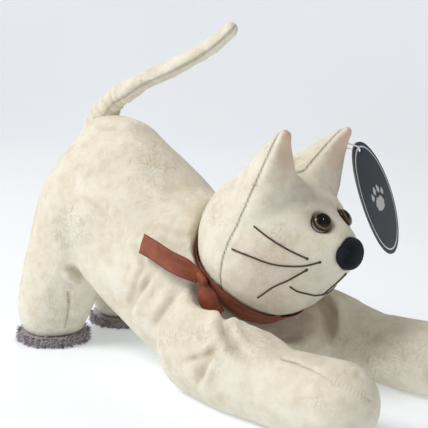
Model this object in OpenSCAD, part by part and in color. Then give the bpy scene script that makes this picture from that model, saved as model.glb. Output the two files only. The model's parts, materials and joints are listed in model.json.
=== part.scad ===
// Stuffed cloth cat in a stretching pose, used as a door stop.
// The cat faces -Y, +X is its left side and +Z is up. The origin is on the floor,
// at the middle of the toy's length and width. Units are millimetres.

/* [Cloth] */
// Thickness of the cover cloth
cloth_t = 1.2; // [0.8:0.1:2]
// Gap between two pieces that touch in the real toy
seat_gap = 0.3; // [0.2:0.05:0.6]

/* [Body] */
// Radius of the rump
rump_r = 54; // [46:1:64]
// Radius of the chest
chest_r = 46; // [38:1:54]
// Half width of the body
body_half_w = 63; // [56:1:70]
// Distance from the middle of the chest to the middle of the rump
torso_len = 180; // [150:1:210]
// Angle at which the back climbs to the rump
torso_rise = 29.5; // [24:0.5:35]
// Half width of the belly panel
belly_half_w = 26; // [15:1:35]

/* [Head] */
// Radius of the ball of the head
head_r = 54; // [44:1:64]
// Distance from the middle of the head to the middle of the muzzle tip
muzzle_reach = 58; // [50:1:68]
// Radius of the muzzle tip
muzzle_r = 13; // [10:0.5:17]
// Distance from the middle of the head to the middle of the ribbon
neck_len = 36; // [30:1:42]
// Forward lean of the neck
neck_lean = 35; // [25:1:50]
// Forward lean of the seam that joins the face to the back of the head
seam_lean = 21; // [0:1:35]

/* [Ears] */
// Height of an ear tip over the middle of the head
ear_rise = 78; // [64:1:88]
// Sideways distance of an ear tip from the middle
ear_out = 37; // [28:1:46]
// Distance of an ear tip in front of the middle of the head
ear_fore = 34; // [24:1:42]
// Radius of the rounding at an ear's root
ear_root_r = 14; // [10:1:17]
// Radius of an ear tip
ear_tip_r = 5; // [4:0.5:7]

/* [Face] */
// Diameter of an eye
eye_d = 13.5; // [10:0.5:17]
// Diameter of the nose
nose_d = 25; // [18:0.5:30]
// Diameter of an embroidered line
thread_d = 1.2; // [0.8:0.1:2]

/* [Front legs] */
// Radius of a paw
paw_r = 27; // [22:1:33]
// Radius of a wrist
wrist_r = 26; // [20:1:30]
// Radius of a shoulder
shoulder_r = 34; // [28:1:40]
// Reach of a paw in front of the middle of the chest
leg_reach = 100; // [80:1:120]
// Sideways distance of a paw from the middle
paw_out = 62; // [52:1:72]

/* [Hind legs] */
// Radius of a thigh
thigh_r = 42; // [36:1:48]
// Radius of a hind foot
foot_r = 30; // [24:1:36]
// Sideways distance of a hind foot from the middle
foot_out = 40; // [34:1:48]
// Distance of a hind foot behind the middle of the rump
foot_back = 34; // [26:1:44]
// Height of the fur pad under a hind foot
pad_h = 9; // [6:0.5:13]

/* [Tail] */
// Radius of the tail at its base
tail_r = 8; // [6.5:0.5:10]
// Radius of the tail at its tip
tail_tip_r = 5.5; // [4:0.5:7]
// Length of the tail from its base to its crease
tail_low_len = 47; // [36:1:58]
// Length of the tail from its crease to its tip
tail_top_len = 101; // [80:1:125]
// Angle of the lower part over the horizon
tail_low_rise = 25; // [20:1:45]
// Angle of the upper part over the horizon, at its middle
tail_top_rise = 23; // [10:1:50]
// Extra rise of the tail's tip
tip_curl = 8; // [0:1:20]
// Diameter of the wire in the tail
wire_d = 2; // [1:0.5:3]

/* [Ribbon] */
// Width of the ribbon
ribbon_w = 14; // [10:0.5:16]
// Thickness of the ribbon
ribbon_t = 0.8; // [0.5:0.1:1.2]
// Length of the ribbon's long end
ribbon_long = 46; // [34:1:54]
// Length of the ribbon's short end
ribbon_short = 27; // [20:1:32]

/* [Hang tag] */
// Length of the oval card
tag_len = 88; // [66:1:96]
// Width of the oval card
tag_w = 43; // [32:1:50]
// Thickness of the folded card
tag_t = 1.2; // [0.8:0.1:2]
// Radius of the plastic loop
loop_r = 7; // [6.5:0.5:9]
// Thickness of the plastic loop
loop_t = 1; // [0.8:0.1:1.4]

/* [Hidden] */

RIGHT = -1;
LEFT = 1;
BODY_FN = 20;
HEAD_FN = 28;
LIMB_FN = 16;
TAIL_FN = 12;
THREAD_FN = 5;
FAR = 600;               // larger than the whole toy
THIN = 0.2;              // thickness of the flat discs that a hull joins

cream = "#d9d0bd";
fibre = "#f2f0ea";
fur = "#8d8391";
rust = "#8c4433";
iron = "#8a8d90";

// ---- body ----
// Each section: share of the way from chest to rump, radius and drop of the two balls that
// lie side by side at its foot, how far they are out, radius and lift of the ball on its ridge
BODY = [
    [0, chest_r - 4, 5, body_half_w, chest_r - 4, 0],
    [0.3, chest_r - 2, 24, body_half_w, chest_r - 2, 4],
    [0.6, chest_r - 2, 26, body_half_w, rump_r - 18, 11],
    [0.85, rump_r - 8, 14, body_half_w, rump_r - 18, 16],
    [1, rump_r - 10, 12, body_half_w - 5, rump_r - 22, 22],
    [1.1, rump_r - 24, 22, body_half_w - 19, rump_r - 24, 17]
];
body_dir = [0, cos(torso_rise), sin(torso_rise)];
body_up = [0, -sin(torso_rise), cos(torso_rise)];

foot_y = foot_back + torso_len * cos(torso_rise);
rear_y = foot_y + foot_r;                 // behind the middle of the chest
front_y = -leg_reach - paw_r;
chest_c = [0, -(rear_y + front_y) / 2, chest_r - 1];
rump_c = chest_c + torso_len * body_dir;

function foot_ball_c(s) = chest_c + s[0] * torso_len * body_dir - s[2] * body_up;
function ridge_c(s) = chest_c + s[0] * torso_len * body_dir + s[5] * body_up;

// ---- limbs: [place, radius] of each ball ----
function front_leg(side) = [
    [chest_c + [side * (paw_out - 14), 20, shoulder_r - chest_r], shoulder_r],
    [chest_c + [side * (paw_out - 6), -16, -chest_r + (shoulder_r + wrist_r) / 2], (shoulder_r + wrist_r) / 2 + 1],
    [chest_c + [side * (paw_out - 2), -0.55 * leg_reach, wrist_r - chest_r], wrist_r],
    [chest_c + [side * paw_out, -leg_reach, paw_r - chest_r], paw_r]
];
function hind_leg(side) = [
    [[side * 24, rump_c.y + 8, rump_c.z - 20], thigh_r],
    [[side * (foot_out - 4), rump_c.y + foot_back * 0.75, rump_c.z * 0.42], (thigh_r + foot_r) / 2 - 2],
    [[side * foot_out, chest_c.y + foot_y, foot_r * 0.9], foot_r]
];

// ---- neck, head and face ----
neck_dir = [0, -sin(neck_lean), cos(neck_lean)];
neck_back = [0, cos(neck_lean), sin(neck_lean)];
head_c = chest_c + [0, -2, 60];
neck_gap = seat_gap + 0.3;                // the ball of the head turns in the neck
neck_r = sqrt(pow(head_r, 2) - pow(neck_len, 2));
muzzle_dir = [0, -1, 0];
muzzle_up = [0, 0, 1];
cone = asin((head_r - muzzle_r) / muzzle_reach);

// A place on the face is an angle from the muzzle's line and a turn round that line,
// counted from the cat's left side upwards. Past the tangent angle the face is a ball,
// and before it a cone that narrows to the muzzle.
function face_t(a) = a + cone < 90 ? head_r / sin(a + cone) : head_r;
function face_ring(turn) = [cos(turn), 0, 0] + sin(turn) * muzzle_up;
function face_normal(a, turn) = cos(max(a, 90 - cone)) * muzzle_dir
    + sin(max(a, 90 - cone)) * face_ring(turn);
function face_point(a, turn, lift = 0) = head_c
    + face_t(a) * (cos(a) * muzzle_dir + sin(a) * face_ring(turn)) + lift * face_normal(a, turn);

EYE_A = 27;              // angle of an eye from the muzzle's line
EYE_TURN = 57;           // turn of the left eye round it
nose_c = head_c + (muzzle_reach + muzzle_r * 0.45) * muzzle_dir;
stem_r = 1.5;            // stem of a safety eye or nose
stem_l = 6;
washer_r = 6;
washer_t = 1.5;

// ---- ears ----
ear_tip = [ear_out, head_c.y - ear_fore, head_c.z + ear_rise];
// Places round an ear's root: direction from the middle of the head, and share of the
// root's radius. The ear is the cloth drawn tight from its tip to these.
EAR_ROOTS = [[[15, -15, 50], 1], [[25, -24, 40], 0.6], [[52, -5, 12], 1.4], [[21, 23, 44], 1.7]];
function ear_root_ball(e) = [head_c + (head_r - e[1] * ear_root_r - 1) * e[0] / norm(e[0]), e[1] * ear_root_r];

// ---- tail ----
tail_low_dir = [0, -cos(tail_low_rise), sin(tail_low_rise)];
root_dir = [0, sin(12), cos(12)];          // where the tail leaves the rump
root_c = ridge_c(BODY[5]) + (BODY[5][4] + tail_r + seat_gap) * root_dir;
crease_c = root_c + tail_low_len * tail_low_dir;
crease_r = tail_r - 1;
rim_back = crease_r * 0.62 + 0.5;          // the cup's rim stays behind the bend
open_back = crease_r * 0.6;                // where the upper part's cloth is open
TAIL_STEPS = 5;
function tail_rise(s) = tail_top_rise - tip_curl / 2 + tip_curl * pow(s, 3) * 2;
function tail_top(i) = i == 0 ? crease_c : tail_top(i - 1) + tail_top_len / TAIL_STEPS
    * [0, -cos(tail_rise(i / TAIL_STEPS)), sin(tail_rise(i / TAIL_STEPS))];
function tail_top_r(i) = crease_r + (tail_tip_r - crease_r) * i / TAIL_STEPS;

// ---- ribbon: a band round the neck, and two ends that lie on the shoulder ----
band_gap = neck_gap + 0.3;
knot_turn = 8;           // where the knot sits: 0 at the cat's right side, 90 at the back
function band_ring(turn) = [-cos(turn), 0, 0] + sin(turn) * neck_back;
function band_r(drop, lift) = sqrt(pow(head_r + band_gap + lift, 2) - pow(drop, 2));
function band_point(turn, drop, lift) = head_c - drop * neck_dir + band_r(drop, lift) * band_ring(turn);
knot_t = 6;
knot_c = band_point(knot_turn, neck_len, ribbon_t + 0.15 + knot_t / 2);

// ---- hang tag ----
tag_hole_r = 2.4;
ear_hole = ear_tip + [2, 2, -8];         // where the loop passes through the ear's edge
loop_fall = 20;                            // the loop falls outwards from there
hole_room = 0.9;                           // all round the loop, at either end of its flap
loop_out = [cos(loop_fall), 0, -sin(loop_fall)];
loop_c = ear_hole + loop_r * loop_out;
card_turn = 35;                            // the card hangs on the loop's outer front
card_hole = loop_c + loop_r * (cos(card_turn) * loop_out + sin(card_turn) * [0, -1, 0]);
card_lean = 18;                            // the card's foot leans out to the side
card_tilt = 14;                            // and forward
card_top = 5;                              // from the middle of the hole to the card's top

// ======== shared shapes ========

module ball(p, r, fn) {
    translate(p) sphere(r = r, $fn = fn);
}

// Balls joined one to the next
module limb(balls, inset, fn) {
    for (i = [0 : len(balls) - 2])
        hull() {
            ball(balls[i][0], balls[i][1] - inset, fn);
            ball(balls[i + 1][0], balls[i + 1][1] - inset, fn);
        }
}

// Everything over a height
module over(z) {
    translate([-FAR, -FAR, z]) cube([2 * FAR, 2 * FAR, FAR]);
}

// Everything on one side of the plane X = 0
module half(side) {
    translate([side > 0 ? 0 : -FAR, -FAR, -FAR]) cube([FAR, 2 * FAR, 2 * FAR]);
}

// A body section is two balls side by side and one over them
module body_section(s, inset) {
    for (side = [RIGHT, LEFT])
        ball(foot_ball_c(s) + [side * (s[3] - s[1]), 0, 0], s[1] - inset, BODY_FN);
    ball(ridge_c(s), s[4] - inset, BODY_FN);
}

module body_form(inset) {
    intersection() {
        union() {
            for (i = [0 : len(BODY) - 2])
                hull() {
                    body_section(BODY[i], inset);
                    body_section(BODY[i + 1], inset);
                }
            // the neck, which ends in a cup for the head
            hull() {
                body_section(BODY[0], inset + 4);
                translate(head_c - (neck_len + 4) * neck_dir) rotate([neck_lean, 0, 0])
                    cylinder(r = neck_r - inset + 2, h = 8, center = true, $fn = HEAD_FN);
            }
        }
        over(max(inset, 0));
    }
}

// The hollow that the head's ball sits in. It is wider from the band upwards, and in front
// of the band nothing reaches over the band's lower edge, which leaves the jaw free.
module neck_hollow(extra) {
    band_low = -neck_len - ribbon_w / 2 - seat_gap;
    translate(head_c) rotate([neck_lean, 0, 0]) {
        sphere(r = head_r + neck_gap + extra, $fn = HEAD_FN);
        intersection() {
            sphere(r = head_r + band_gap + 2 * ribbon_t + 6 * seat_gap + extra, $fn = HEAD_FN);
            translate([0, 0, band_low]) cylinder(r = 2 * head_r, h = 2 * head_r);
        }
        translate([-FAR, -FAR - neck_r * 0.5, band_low]) cube([2 * FAR, FAR, FAR]);
    }
    ball(knot_c, ribbon_w * 0.62 + knot_t / 2 + extra, LIMB_FN);
}

// Room that the legs leave round the head
module head_room() {
    ball(head_c, head_r + band_gap + ribbon_t + 3, HEAD_FN);
}

module body_shell() {
    difference() {
        body_form(0);
        body_form(cloth_t);
        neck_hollow(0);
    }
}

module belly_zone() {
    rotate_about_chest() translate([-belly_half_w, -FAR / 2, -FAR])
        cube([2 * belly_half_w, FAR, FAR - chest_r * 0.4]);
}

module rotate_about_chest() {
    translate(chest_c) rotate([torso_rise, 0, 0]) children();
}

// ======== body ========

module side_panel(side) {
    difference() {
        intersection() {
            body_shell();
            half(side);
        }
        belly_zone();
    }
}

module side_panel_right() {
    color(cream) side_panel(RIGHT);
}

module side_panel_left() {
    color(cream) side_panel(LEFT);
}

module belly_panel() {
    color(cream) intersection() {
        body_shell();
        belly_zone();
    }
}

// A bag of beads low in the chest
module bag_form(grow) {
    translate(chest_c + [0, 36, -14]) scale([1.2, 1.4, 0.75]) sphere(r = chest_r * 0.6 + grow, $fn = BODY_FN);
}

module body_filling() {
    color(fibre) difference() {
        body_form(cloth_t + seat_gap);
        neck_hollow(0);
        bag_form(seat_gap);
    }
}

module weight_bag() {
    color(fibre) bag_form(0);
}

// ======== legs ========

module leg_cover(balls, floor_z) {
    difference() {
        intersection() {
            limb(balls, 0, LIMB_FN);
            over(floor_z);
        }
        intersection() {
            limb(balls, cloth_t, LIMB_FN);
            over(floor_z + cloth_t);
        }
        body_form(-seat_gap);
        head_room();
    }
}

module leg_filling(balls, floor_z) {
    difference() {
        intersection() {
            limb(balls, cloth_t + seat_gap, LIMB_FN);
            over(floor_z + cloth_t + seat_gap);
        }
        body_form(-seat_gap);
        head_room();
    }
}

module front_leg_cover_right() {
    color(cream) leg_cover(front_leg(RIGHT), 0);
}

module front_leg_cover_left() {
    color(cream) leg_cover(front_leg(LEFT), 0);
}

module front_leg_filling_right() {
    color(fibre) leg_filling(front_leg(RIGHT), 0);
}

module front_leg_filling_left() {
    color(fibre) leg_filling(front_leg(LEFT), 0);
}

module hind_side(side) {
    intersection() {
        children();
        translate([side * (FAR / 2 + seat_gap / 2), 0, 0]) cube([FAR, 2 * FAR, 2 * FAR], center = true);
    }
}

module hind_leg_cover_right() {
    color(cream) hind_side(RIGHT) leg_cover(hind_leg(RIGHT), pad_h);
}

module hind_leg_cover_left() {
    color(cream) hind_side(LEFT) leg_cover(hind_leg(LEFT), pad_h);
}

module hind_leg_filling_right() {
    color(fibre) hind_side(RIGHT) leg_filling(hind_leg(RIGHT), pad_h);
}

module hind_leg_filling_left() {
    color(fibre) hind_side(LEFT) leg_filling(hind_leg(LEFT), pad_h);
}

// The fur pad is the lowest slice of the foot
module hind_pad(side) {
    foot = hind_leg(side)[2];
    hull() {
        translate([foot[0].x, foot[0].y, 0]) cylinder(r = foot_r - 3, h = THIN, $fn = BODY_FN);
        translate([foot[0].x, foot[0].y, pad_h * 0.5]) cylinder(r = foot_r, h = THIN, $fn = BODY_FN);
        translate([foot[0].x, foot[0].y, pad_h - seat_gap]) cylinder(r = foot_r - 2, h = THIN, $fn = BODY_FN);
    }
}

module hind_pad_right() {
    color(fur) hind_pad(RIGHT);
}

module hind_pad_left() {
    color(fur) hind_pad(LEFT);
}

// ======== head ========

module ear_form(side, inset) {
    scale([side, 1, 1]) hull() {
        ball(ear_tip, ear_tip_r - inset, LIMB_FN);
        for (e = EAR_ROOTS) ball(ear_root_ball(e)[0], ear_root_ball(e)[1] - inset, LIMB_FN);
    }
}

module head_form(inset) {
    hull() {
        translate(head_c) rotate([neck_lean, 0, 0]) sphere(r = head_r - inset, $fn = HEAD_FN);
        translate(head_c + muzzle_reach * muzzle_dir) rotate([90, 0, 0])
            sphere(r = muzzle_r - inset, $fn = LIMB_FN);
    }
    for (side = [RIGHT, LEFT]) ear_form(side, inset);
}

module at_face(a, turn, lift) {
    n = face_normal(a, turn);
    translate(face_point(a, turn, lift)) rotate([0, acos(n.z), atan2(n.y, n.x)]) children();
}

module at_eye(side) {
    at_face(EYE_A, side > 0 ? EYE_TURN : 180 - EYE_TURN, 0) children();
}

module at_nose() {
    translate(nose_c) rotate([90, 0, 0]) children();
}

// The stems' holes in the cloth, and room for their washers in the filling
module face_holes(r) {
    for (side = [RIGHT, LEFT]) at_eye(side) pin_room(r, 15);
    at_nose() pin_room(r, muzzle_r);
}

module pin_room(r, reach) {
    hull()
        for (h = [-reach, reach])
            translate([0, 0, h]) cylinder(r = r, h = THIN, $fn = LIMB_FN);
}

// The curved hole that the loop is shot through, open to both ends of its flap
module loop_hole() {
    for (flap = [-15, 20])
        translate(ear_hole) rotate([0, loop_fall + flap, 0]) translate([loop_r, 0, 0])
            rotate_extrude($fn = BODY_FN) translate([loop_r, 0]) circle(r = loop_t / 2 + hole_room, $fn = 12);
}

module head_shell() {
    difference() {
        head_form(0);
        head_form(cloth_t);
        face_holes(stem_r + seat_gap);
        loop_hole();
        eye_beds(seat_gap);
    }
}

// The two sides of the seam over the top of the head, from ear tip to ear tip
module face_side(front) {
    translate(head_c) rotate([seam_lean, 0, 0])
        translate([-FAR, front ? -FAR : 0, -FAR]) cube([2 * FAR, FAR, 2 * FAR]);
}

module face_panel() {
    color(cream) intersection() {
        head_shell();
        face_side(true);
    }
}

module head_back_panel() {
    color(cream) intersection() {
        head_shell();
        face_side(false);
    }
}

module head_filling() {
    color(fibre) difference() {
        head_form(cloth_t + seat_gap);
        face_holes(washer_r + 1);
        ball(loop_c, loop_r + loop_t / 2 + 2 * hole_room, LIMB_FN);
        eye_beds(seat_gap);
    }
}

// An eye is a domed button on a stem
module eye_dome(grow) {
    translate([0, 0, -0.6]) scale([1, 1, 0.62]) sphere(r = eye_d / 2 + grow, $fn = HEAD_FN);
}

module eye_beds(grow) {
    for (side = [RIGHT, LEFT]) at_eye(side) hull() eye_dome(grow);
    at_nose() hull() nose_dome(grow);
}

module eye(side) {
    at_eye(side) {
        intersection() {
            eye_dome(0);
            translate([0, 0, -0.8]) cylinder(r = eye_d, h = eye_d);
        }
        translate([0, 0, -stem_l - 0.8]) cylinder(r = stem_r, h = stem_l + 1);
    }
}

module eye_right() {
    color("#2a1a10") eye(RIGHT);
}

module eye_left() {
    color("#2a1a10") eye(LEFT);
}

module washer() {
    difference() {
        cylinder(r = washer_r, h = washer_t);
        translate([0, 0, -1]) cylinder(r = stem_r + 0.05, h = washer_t + 2);
    }
}

module eye_washers() {
    color(fibre) for (side = [RIGHT, LEFT])
        at_eye(side) translate([0, 0, -cloth_t - seat_gap - washer_t - 1.5]) washer();
}

module nose_dome(grow) {
    scale([nose_d / 2 + grow, nose_d / 2 * 0.82 + grow, nose_d / 2 * 0.6 + grow]) sphere(r = 1, $fn = HEAD_FN);
}

module nose() {
    color("#1b1e2b") at_nose() {
        intersection() {
            nose_dome(0);
            translate([0, 0, -1]) cylinder(r = nose_d, h = nose_d);
        }
        translate([0, 0, -stem_l - 4]) cylinder(r = stem_r, h = stem_l + 3.5);
    }
}

module nose_washer() {
    color(fibre) at_nose() translate([0, 0, -8]) washer();
}

// A line of thread through points [angle, turn] on the face
module thread_line(places, side) {
    lift = thread_d / 2 + 0.25;
    for (i = [0 : len(places) - 2])
        hull()
            for (p = [places[i], places[i + 1]])
                translate(face_point(p[0], side > 0 ? p[1] : 180 - p[1], lift))
                    sphere(r = thread_d / 2, $fn = THREAD_FN);
}

WHISKERS = [
    [[29, -5], [43, 6], [57, 14], [70, 21]],
    [[21, -11], [31, -14], [42, -12], [55, -8], [70, -2], [85, 2]],
    [[30, -20], [43, -27], [57, -31], [71, -39]]
];
LIP = [[35, -90], [36, -76], [38, -58], [42, -46], [45, -36]];
LIP_DROP = [[13, -90], [24, -90], [34, -90]];

module whiskers_right() {
    color("#43302a") for (w = WHISKERS) thread_line(w, RIGHT);
}

module whiskers_left() {
    color("#43302a") for (w = WHISKERS) thread_line(w, LEFT);
}

module mouth_stitch() {
    color("#43302a") {
        thread_line(LIP_DROP, LEFT);
        for (side = [RIGHT, LEFT]) thread_line(LIP, side);
    }
}

// ======== ribbon ========

// Turns X outwards from the ball, and Z along the slope of the ball, at a turn round the neck
module at_band(turn, drop, lift) {
    translate(band_point(turn, drop, lift)) rotate([neck_lean, 0, 0]) rotate([0, 0, 180 - turn])
        rotate([0, asin(drop / (head_r + band_gap)), 0]) children();
}

module ribbon_plate(turn, drop, lift) {
    at_band(turn, drop, lift + ribbon_t / 2) cube([ribbon_t, 0.4, ribbon_w], center = true);
}

// The band is a cone that hugs the ball just over the neck
module neck_ribbon() {
    low_drop = neck_len + ribbon_w * 0.42;
    high_drop = neck_len - ribbon_w * 0.42;
    color(rust) translate(head_c) rotate([neck_lean, 0, 0]) difference() {
        translate([0, 0, -low_drop]) cylinder(
            r1 = band_r(low_drop, ribbon_t), r2 = band_r(high_drop, ribbon_t) + 0.2,
            h = low_drop - high_drop, $fn = 64);
        translate([0, 0, -low_drop - 0.01]) cylinder(
            r1 = band_r(low_drop, 0), r2 = band_r(high_drop, 0) + 0.2,
            h = low_drop - high_drop + 0.02, $fn = 64);
    }
}

module ribbon_knot() {
    color(rust) at_band(knot_turn, neck_len, ribbon_t + 0.15 + knot_t / 2)
        hull() {
            cube([knot_t, ribbon_w * 0.7, ribbon_w * 0.8], center = true);
            cube([knot_t * 0.6, ribbon_w * 0.95, ribbon_w * 0.6], center = true);
        }
}

// An end of the ribbon: a strip from the knot, through points off the body
module ribbon_end(points, across) {
    for (i = [0 : len(points) - 2])
        hull()
            for (p = [points[i], points[i + 1]], k = [-0.5, 0.5] * ribbon_w)
                translate(p + k * across) cube(ribbon_t, center = true);
}

module ribbon_end_long() {
    color(rust) ribbon_end([
        knot_c + [-4, 5.5, 5], knot_c + [-13, 0.5 * ribbon_long, 13], knot_c + [-13, ribbon_long, 21]
    ], [0.25, -0.25, 0.9]);
}

// The short end hangs forward from the knot, over the band
module ribbon_end_short() {
    color(rust) for (i = [0 : 3])
        hull()
            for (j = [i, i + 1])
                ribbon_plate(knot_turn - 9.5 - j * ribbon_short / 4, neck_len + 1, ribbon_t + 2 * seat_gap);
}

// ======== tail ========

module tail_low_form(inset) {
    difference() {
        union() {
            hull() {
                ball(root_c, tail_r - inset, TAIL_FN);
                ball(root_c + tail_low_len * 0.5 * tail_low_dir, tail_r - inset, TAIL_FN);
            }
            hull() {
                ball(root_c + tail_low_len * 0.5 * tail_low_dir, tail_r - inset, TAIL_FN);
                translate(crease_c) rotate([90 - tail_low_rise, 0, 0])
                    translate([0, 0, -rim_back]) cylinder(r = crease_r - inset, h = THIN, $fn = TAIL_FN);
            }
        }
        ball(crease_c, crease_r + neck_gap + max(inset, 0), 2 * TAIL_FN);
    }
}

// The upper part starts as a ball in the lower part's cup, open where the wire comes in.
// Each ring: place, radius and rise; back moves the first ring, so that a hollow is open there.
function tail_rings(inset, back) = let (r = crease_r - inset, tip = tail_tip_r - inset, end = tail_top(TAIL_STEPS)) [
    for (h = [-open_back - back, -open_back / 2])
        [crease_c + h * rise_dir(tail_rise(0)), sqrt(pow(r, 2) - pow(min(open_back, -h) * r / crease_r, 2)), tail_rise(0)],
    for (i = [0 : TAIL_STEPS]) [tail_top(i), tail_top_r(i) - inset, tail_rise(max(i - 0.5, 0) / TAIL_STEPS)],
    for (a = [30, 60, 80]) [end + tip * sin(a) * rise_dir(tail_rise(1)), tip * cos(a), tail_rise(1)]
];
function rise_dir(rise) = [0, -cos(rise), sin(rise)];

// A closed tube through rings, its ends flat
module tube(rings) {
    n = TAIL_FN;
    last = len(rings) - 1;
    polyhedron(
        [for (g = rings, k = [0 : n - 1])
            g[0] + g[1] * (cos(360 * k / n) * [1, 0, 0] + sin(360 * k / n) * [0, sin(g[2]), cos(g[2])])],
        [
            [for (k = [0 : n - 1]) k],
            for (i = [0 : last - 1], k = [0 : n - 1])
                [i * n + k, (i + 1) * n + k, (i + 1) * n + (k + 1) % n],
            for (i = [0 : last - 1], k = [0 : n - 1])
                [i * n + k, (i + 1) * n + (k + 1) % n, i * n + (k + 1) % n],
            [for (k = [n - 1 : -1 : 0]) last * n + k]
        ]);
}

module tail_top_form(inset, back = 0) {
    tube(tail_rings(inset, back));
}

module wire_through(points, grow) {
    for (i = [0 : len(points) - 2])
        hull() {
            ball(points[i], wire_d / 2 + grow, 6);
            ball(points[i + 1], wire_d / 2 + grow, 6);
        }
}

low_wire = [root_c, crease_c - (rim_back + crease_r) * tail_low_dir];
top_wire = [
    crease_c - open_back * tail_low_dir,
    for (i = [1 : TAIL_STEPS]) tail_top(i) - (i == TAIL_STEPS ? wire_d : 0) * tail_low_dir
];

module tail_low_cover() {
    color(cream) difference() {
        tail_low_form(0);
        tail_low_form(cloth_t);
    }
}

module tail_low_filling() {
    color(fibre) difference() {
        tail_low_form(cloth_t + seat_gap);
        wire_through(low_wire, seat_gap);
    }
}

module tail_low_wire() {
    color(iron) wire_through(low_wire, 0);
}

module tail_top_cover() {
    color(cream) difference() {
        tail_top_form(0);
        tail_top_form(cloth_t, 1);
    }
}

module tail_top_filling() {
    color(fibre) difference() {
        tail_top_form(cloth_t + seat_gap);
        wire_through(top_wire, seat_gap);
    }
}

module tail_top_wire() {
    color(iron) wire_through(top_wire, 0);
}

// ======== hang tag ========

module tag_loop() {
    color("white") translate(loop_c) rotate([0, loop_fall, 0]) rotate_extrude($fn = LIMB_FN) translate([loop_r, 0]) circle(r = loop_t / 2);
}

module hang_tag() {
    color("#3a4148") translate(card_hole) rotate([90 - card_tilt, 0, 0]) rotate([0, 0, card_lean])
        translate([0, 0, -tag_t / 2]) linear_extrude(tag_t) difference() {
            translate([0, card_top - tag_len / 2]) scale([tag_w / tag_len, 1]) circle(d = tag_len, $fn = 64);
            circle(r = tag_hole_r);
        }
}

side_panel_right();
side_panel_left();
belly_panel();
body_filling();
weight_bag();
front_leg_cover_right();
front_leg_cover_left();
front_leg_filling_right();
front_leg_filling_left();
hind_leg_cover_right();
hind_leg_cover_left();
hind_leg_filling_right();
hind_leg_filling_left();
hind_pad_right();
hind_pad_left();
face_panel();
head_back_panel();
head_filling();
eye_right();
eye_left();
eye_washers();
nose();
nose_washer();
whiskers_right();
whiskers_left();
mouth_stitch();
neck_ribbon();
ribbon_knot();
ribbon_end_long();
ribbon_end_short();
tail_low_cover();
tail_low_filling();
tail_low_wire();
tail_top_cover();
tail_top_filling();
tail_top_wire();
tag_loop();
hang_tag();
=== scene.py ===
"""Looks of the stuffed cloth cat: cover cloth, face, ribbon, fur pads, tail and hang tag.

Metres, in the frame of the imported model. The cat faces -Y, +X is its left side, +Z is up.
"""

from __future__ import annotations

import json
import logging
from collections.abc import Mapping, Sequence
from dataclasses import dataclass, field
from enum import Enum
from math import asin, cos, pi, radians, sin, sqrt

import bpy
import numpy as np
from mathutils import Matrix, Vector
from mathutils.bvhtree import BVHTree

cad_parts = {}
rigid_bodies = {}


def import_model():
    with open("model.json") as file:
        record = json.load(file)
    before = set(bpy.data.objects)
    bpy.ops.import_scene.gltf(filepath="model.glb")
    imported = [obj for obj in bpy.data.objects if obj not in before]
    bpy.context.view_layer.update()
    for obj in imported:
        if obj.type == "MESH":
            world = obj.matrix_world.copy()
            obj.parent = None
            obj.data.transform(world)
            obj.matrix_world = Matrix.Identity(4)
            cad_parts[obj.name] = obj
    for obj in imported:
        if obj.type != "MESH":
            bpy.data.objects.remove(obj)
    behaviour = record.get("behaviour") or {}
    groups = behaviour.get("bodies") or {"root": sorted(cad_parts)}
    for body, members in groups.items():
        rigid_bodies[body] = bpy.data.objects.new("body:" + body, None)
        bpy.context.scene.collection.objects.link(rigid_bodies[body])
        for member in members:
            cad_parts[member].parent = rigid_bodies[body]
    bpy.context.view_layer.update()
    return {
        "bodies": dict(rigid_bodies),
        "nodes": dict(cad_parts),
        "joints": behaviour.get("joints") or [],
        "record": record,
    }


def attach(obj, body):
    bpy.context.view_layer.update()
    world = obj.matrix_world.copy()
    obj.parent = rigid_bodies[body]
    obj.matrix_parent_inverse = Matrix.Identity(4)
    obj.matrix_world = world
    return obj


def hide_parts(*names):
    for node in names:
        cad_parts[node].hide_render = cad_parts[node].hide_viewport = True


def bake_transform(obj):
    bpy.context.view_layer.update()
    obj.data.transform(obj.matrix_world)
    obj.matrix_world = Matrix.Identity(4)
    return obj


LOG = logging.getLogger("cat")
MM = 0.001
Points = np.ndarray
Colour = tuple[float, float, float]


# ======== places that the source of the part gives, in metres ========

ACROSS = np.array((1.0, 0.0, 0.0))
AHEAD = np.array((0.0, -1.0, 0.0))
UP = np.array((0.0, 0.0, 1.0))
HEAD = np.array((0.0, -48.832, 105.0)) * MM
HEAD_R = 54 * MM
MUZZLE_R = 13 * MM
MUZZLE_REACH = 58 * MM
CONE = asin((HEAD_R - MUZZLE_R) / MUZZLE_REACH)
NOSE = np.array((0.0, -112.682, 105.0)) * MM
NECK_LEAN = radians(35)
NECK_DIR = np.array((0.0, -sin(NECK_LEAN), cos(NECK_LEAN)))
NECK_BACK = np.array((0.0, cos(NECK_LEAN), sin(NECK_LEAN)))
NECK_LEN = 36 * MM
BAND_GAP = 0.9 * MM
SEAM_LEAN = radians(21)
SEAM_NORMAL = np.array((0.0, cos(SEAM_LEAN), sin(SEAM_LEAN)))
TAIL_ROOT = np.array((0.0, 125.09, 194.759)) * MM
TAIL_CREASE = np.array((0.0, 82.4938, 214.622)) * MM
KNOT = np.array((-46.101, -22.876, 79.227)) * MM
CARD_HOLE = np.array((50.966, -84.847, 170.645)) * MM
PAD_X, PAD_Y = 40 * MM, 143.83 * MM
FLOOR_GAP = 0.3 * MM
SIM_FRAMES = 20
FAR_FROM_SEAM = 50.0  # mm


class Side(Enum):
    """A side of the cat, with the sign of its X."""

    RIGHT = -1
    LEFT = 1


class Body(Enum):
    """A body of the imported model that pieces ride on."""

    TORSO = "torso"
    HEAD = "head"
    TAIL_LOW = "tail_low"
    TAIL_TOP = "tail_top"
    LOOP = "tag_loop"
    CARD = "tag_card"


# ======== shader expressions ========


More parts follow.
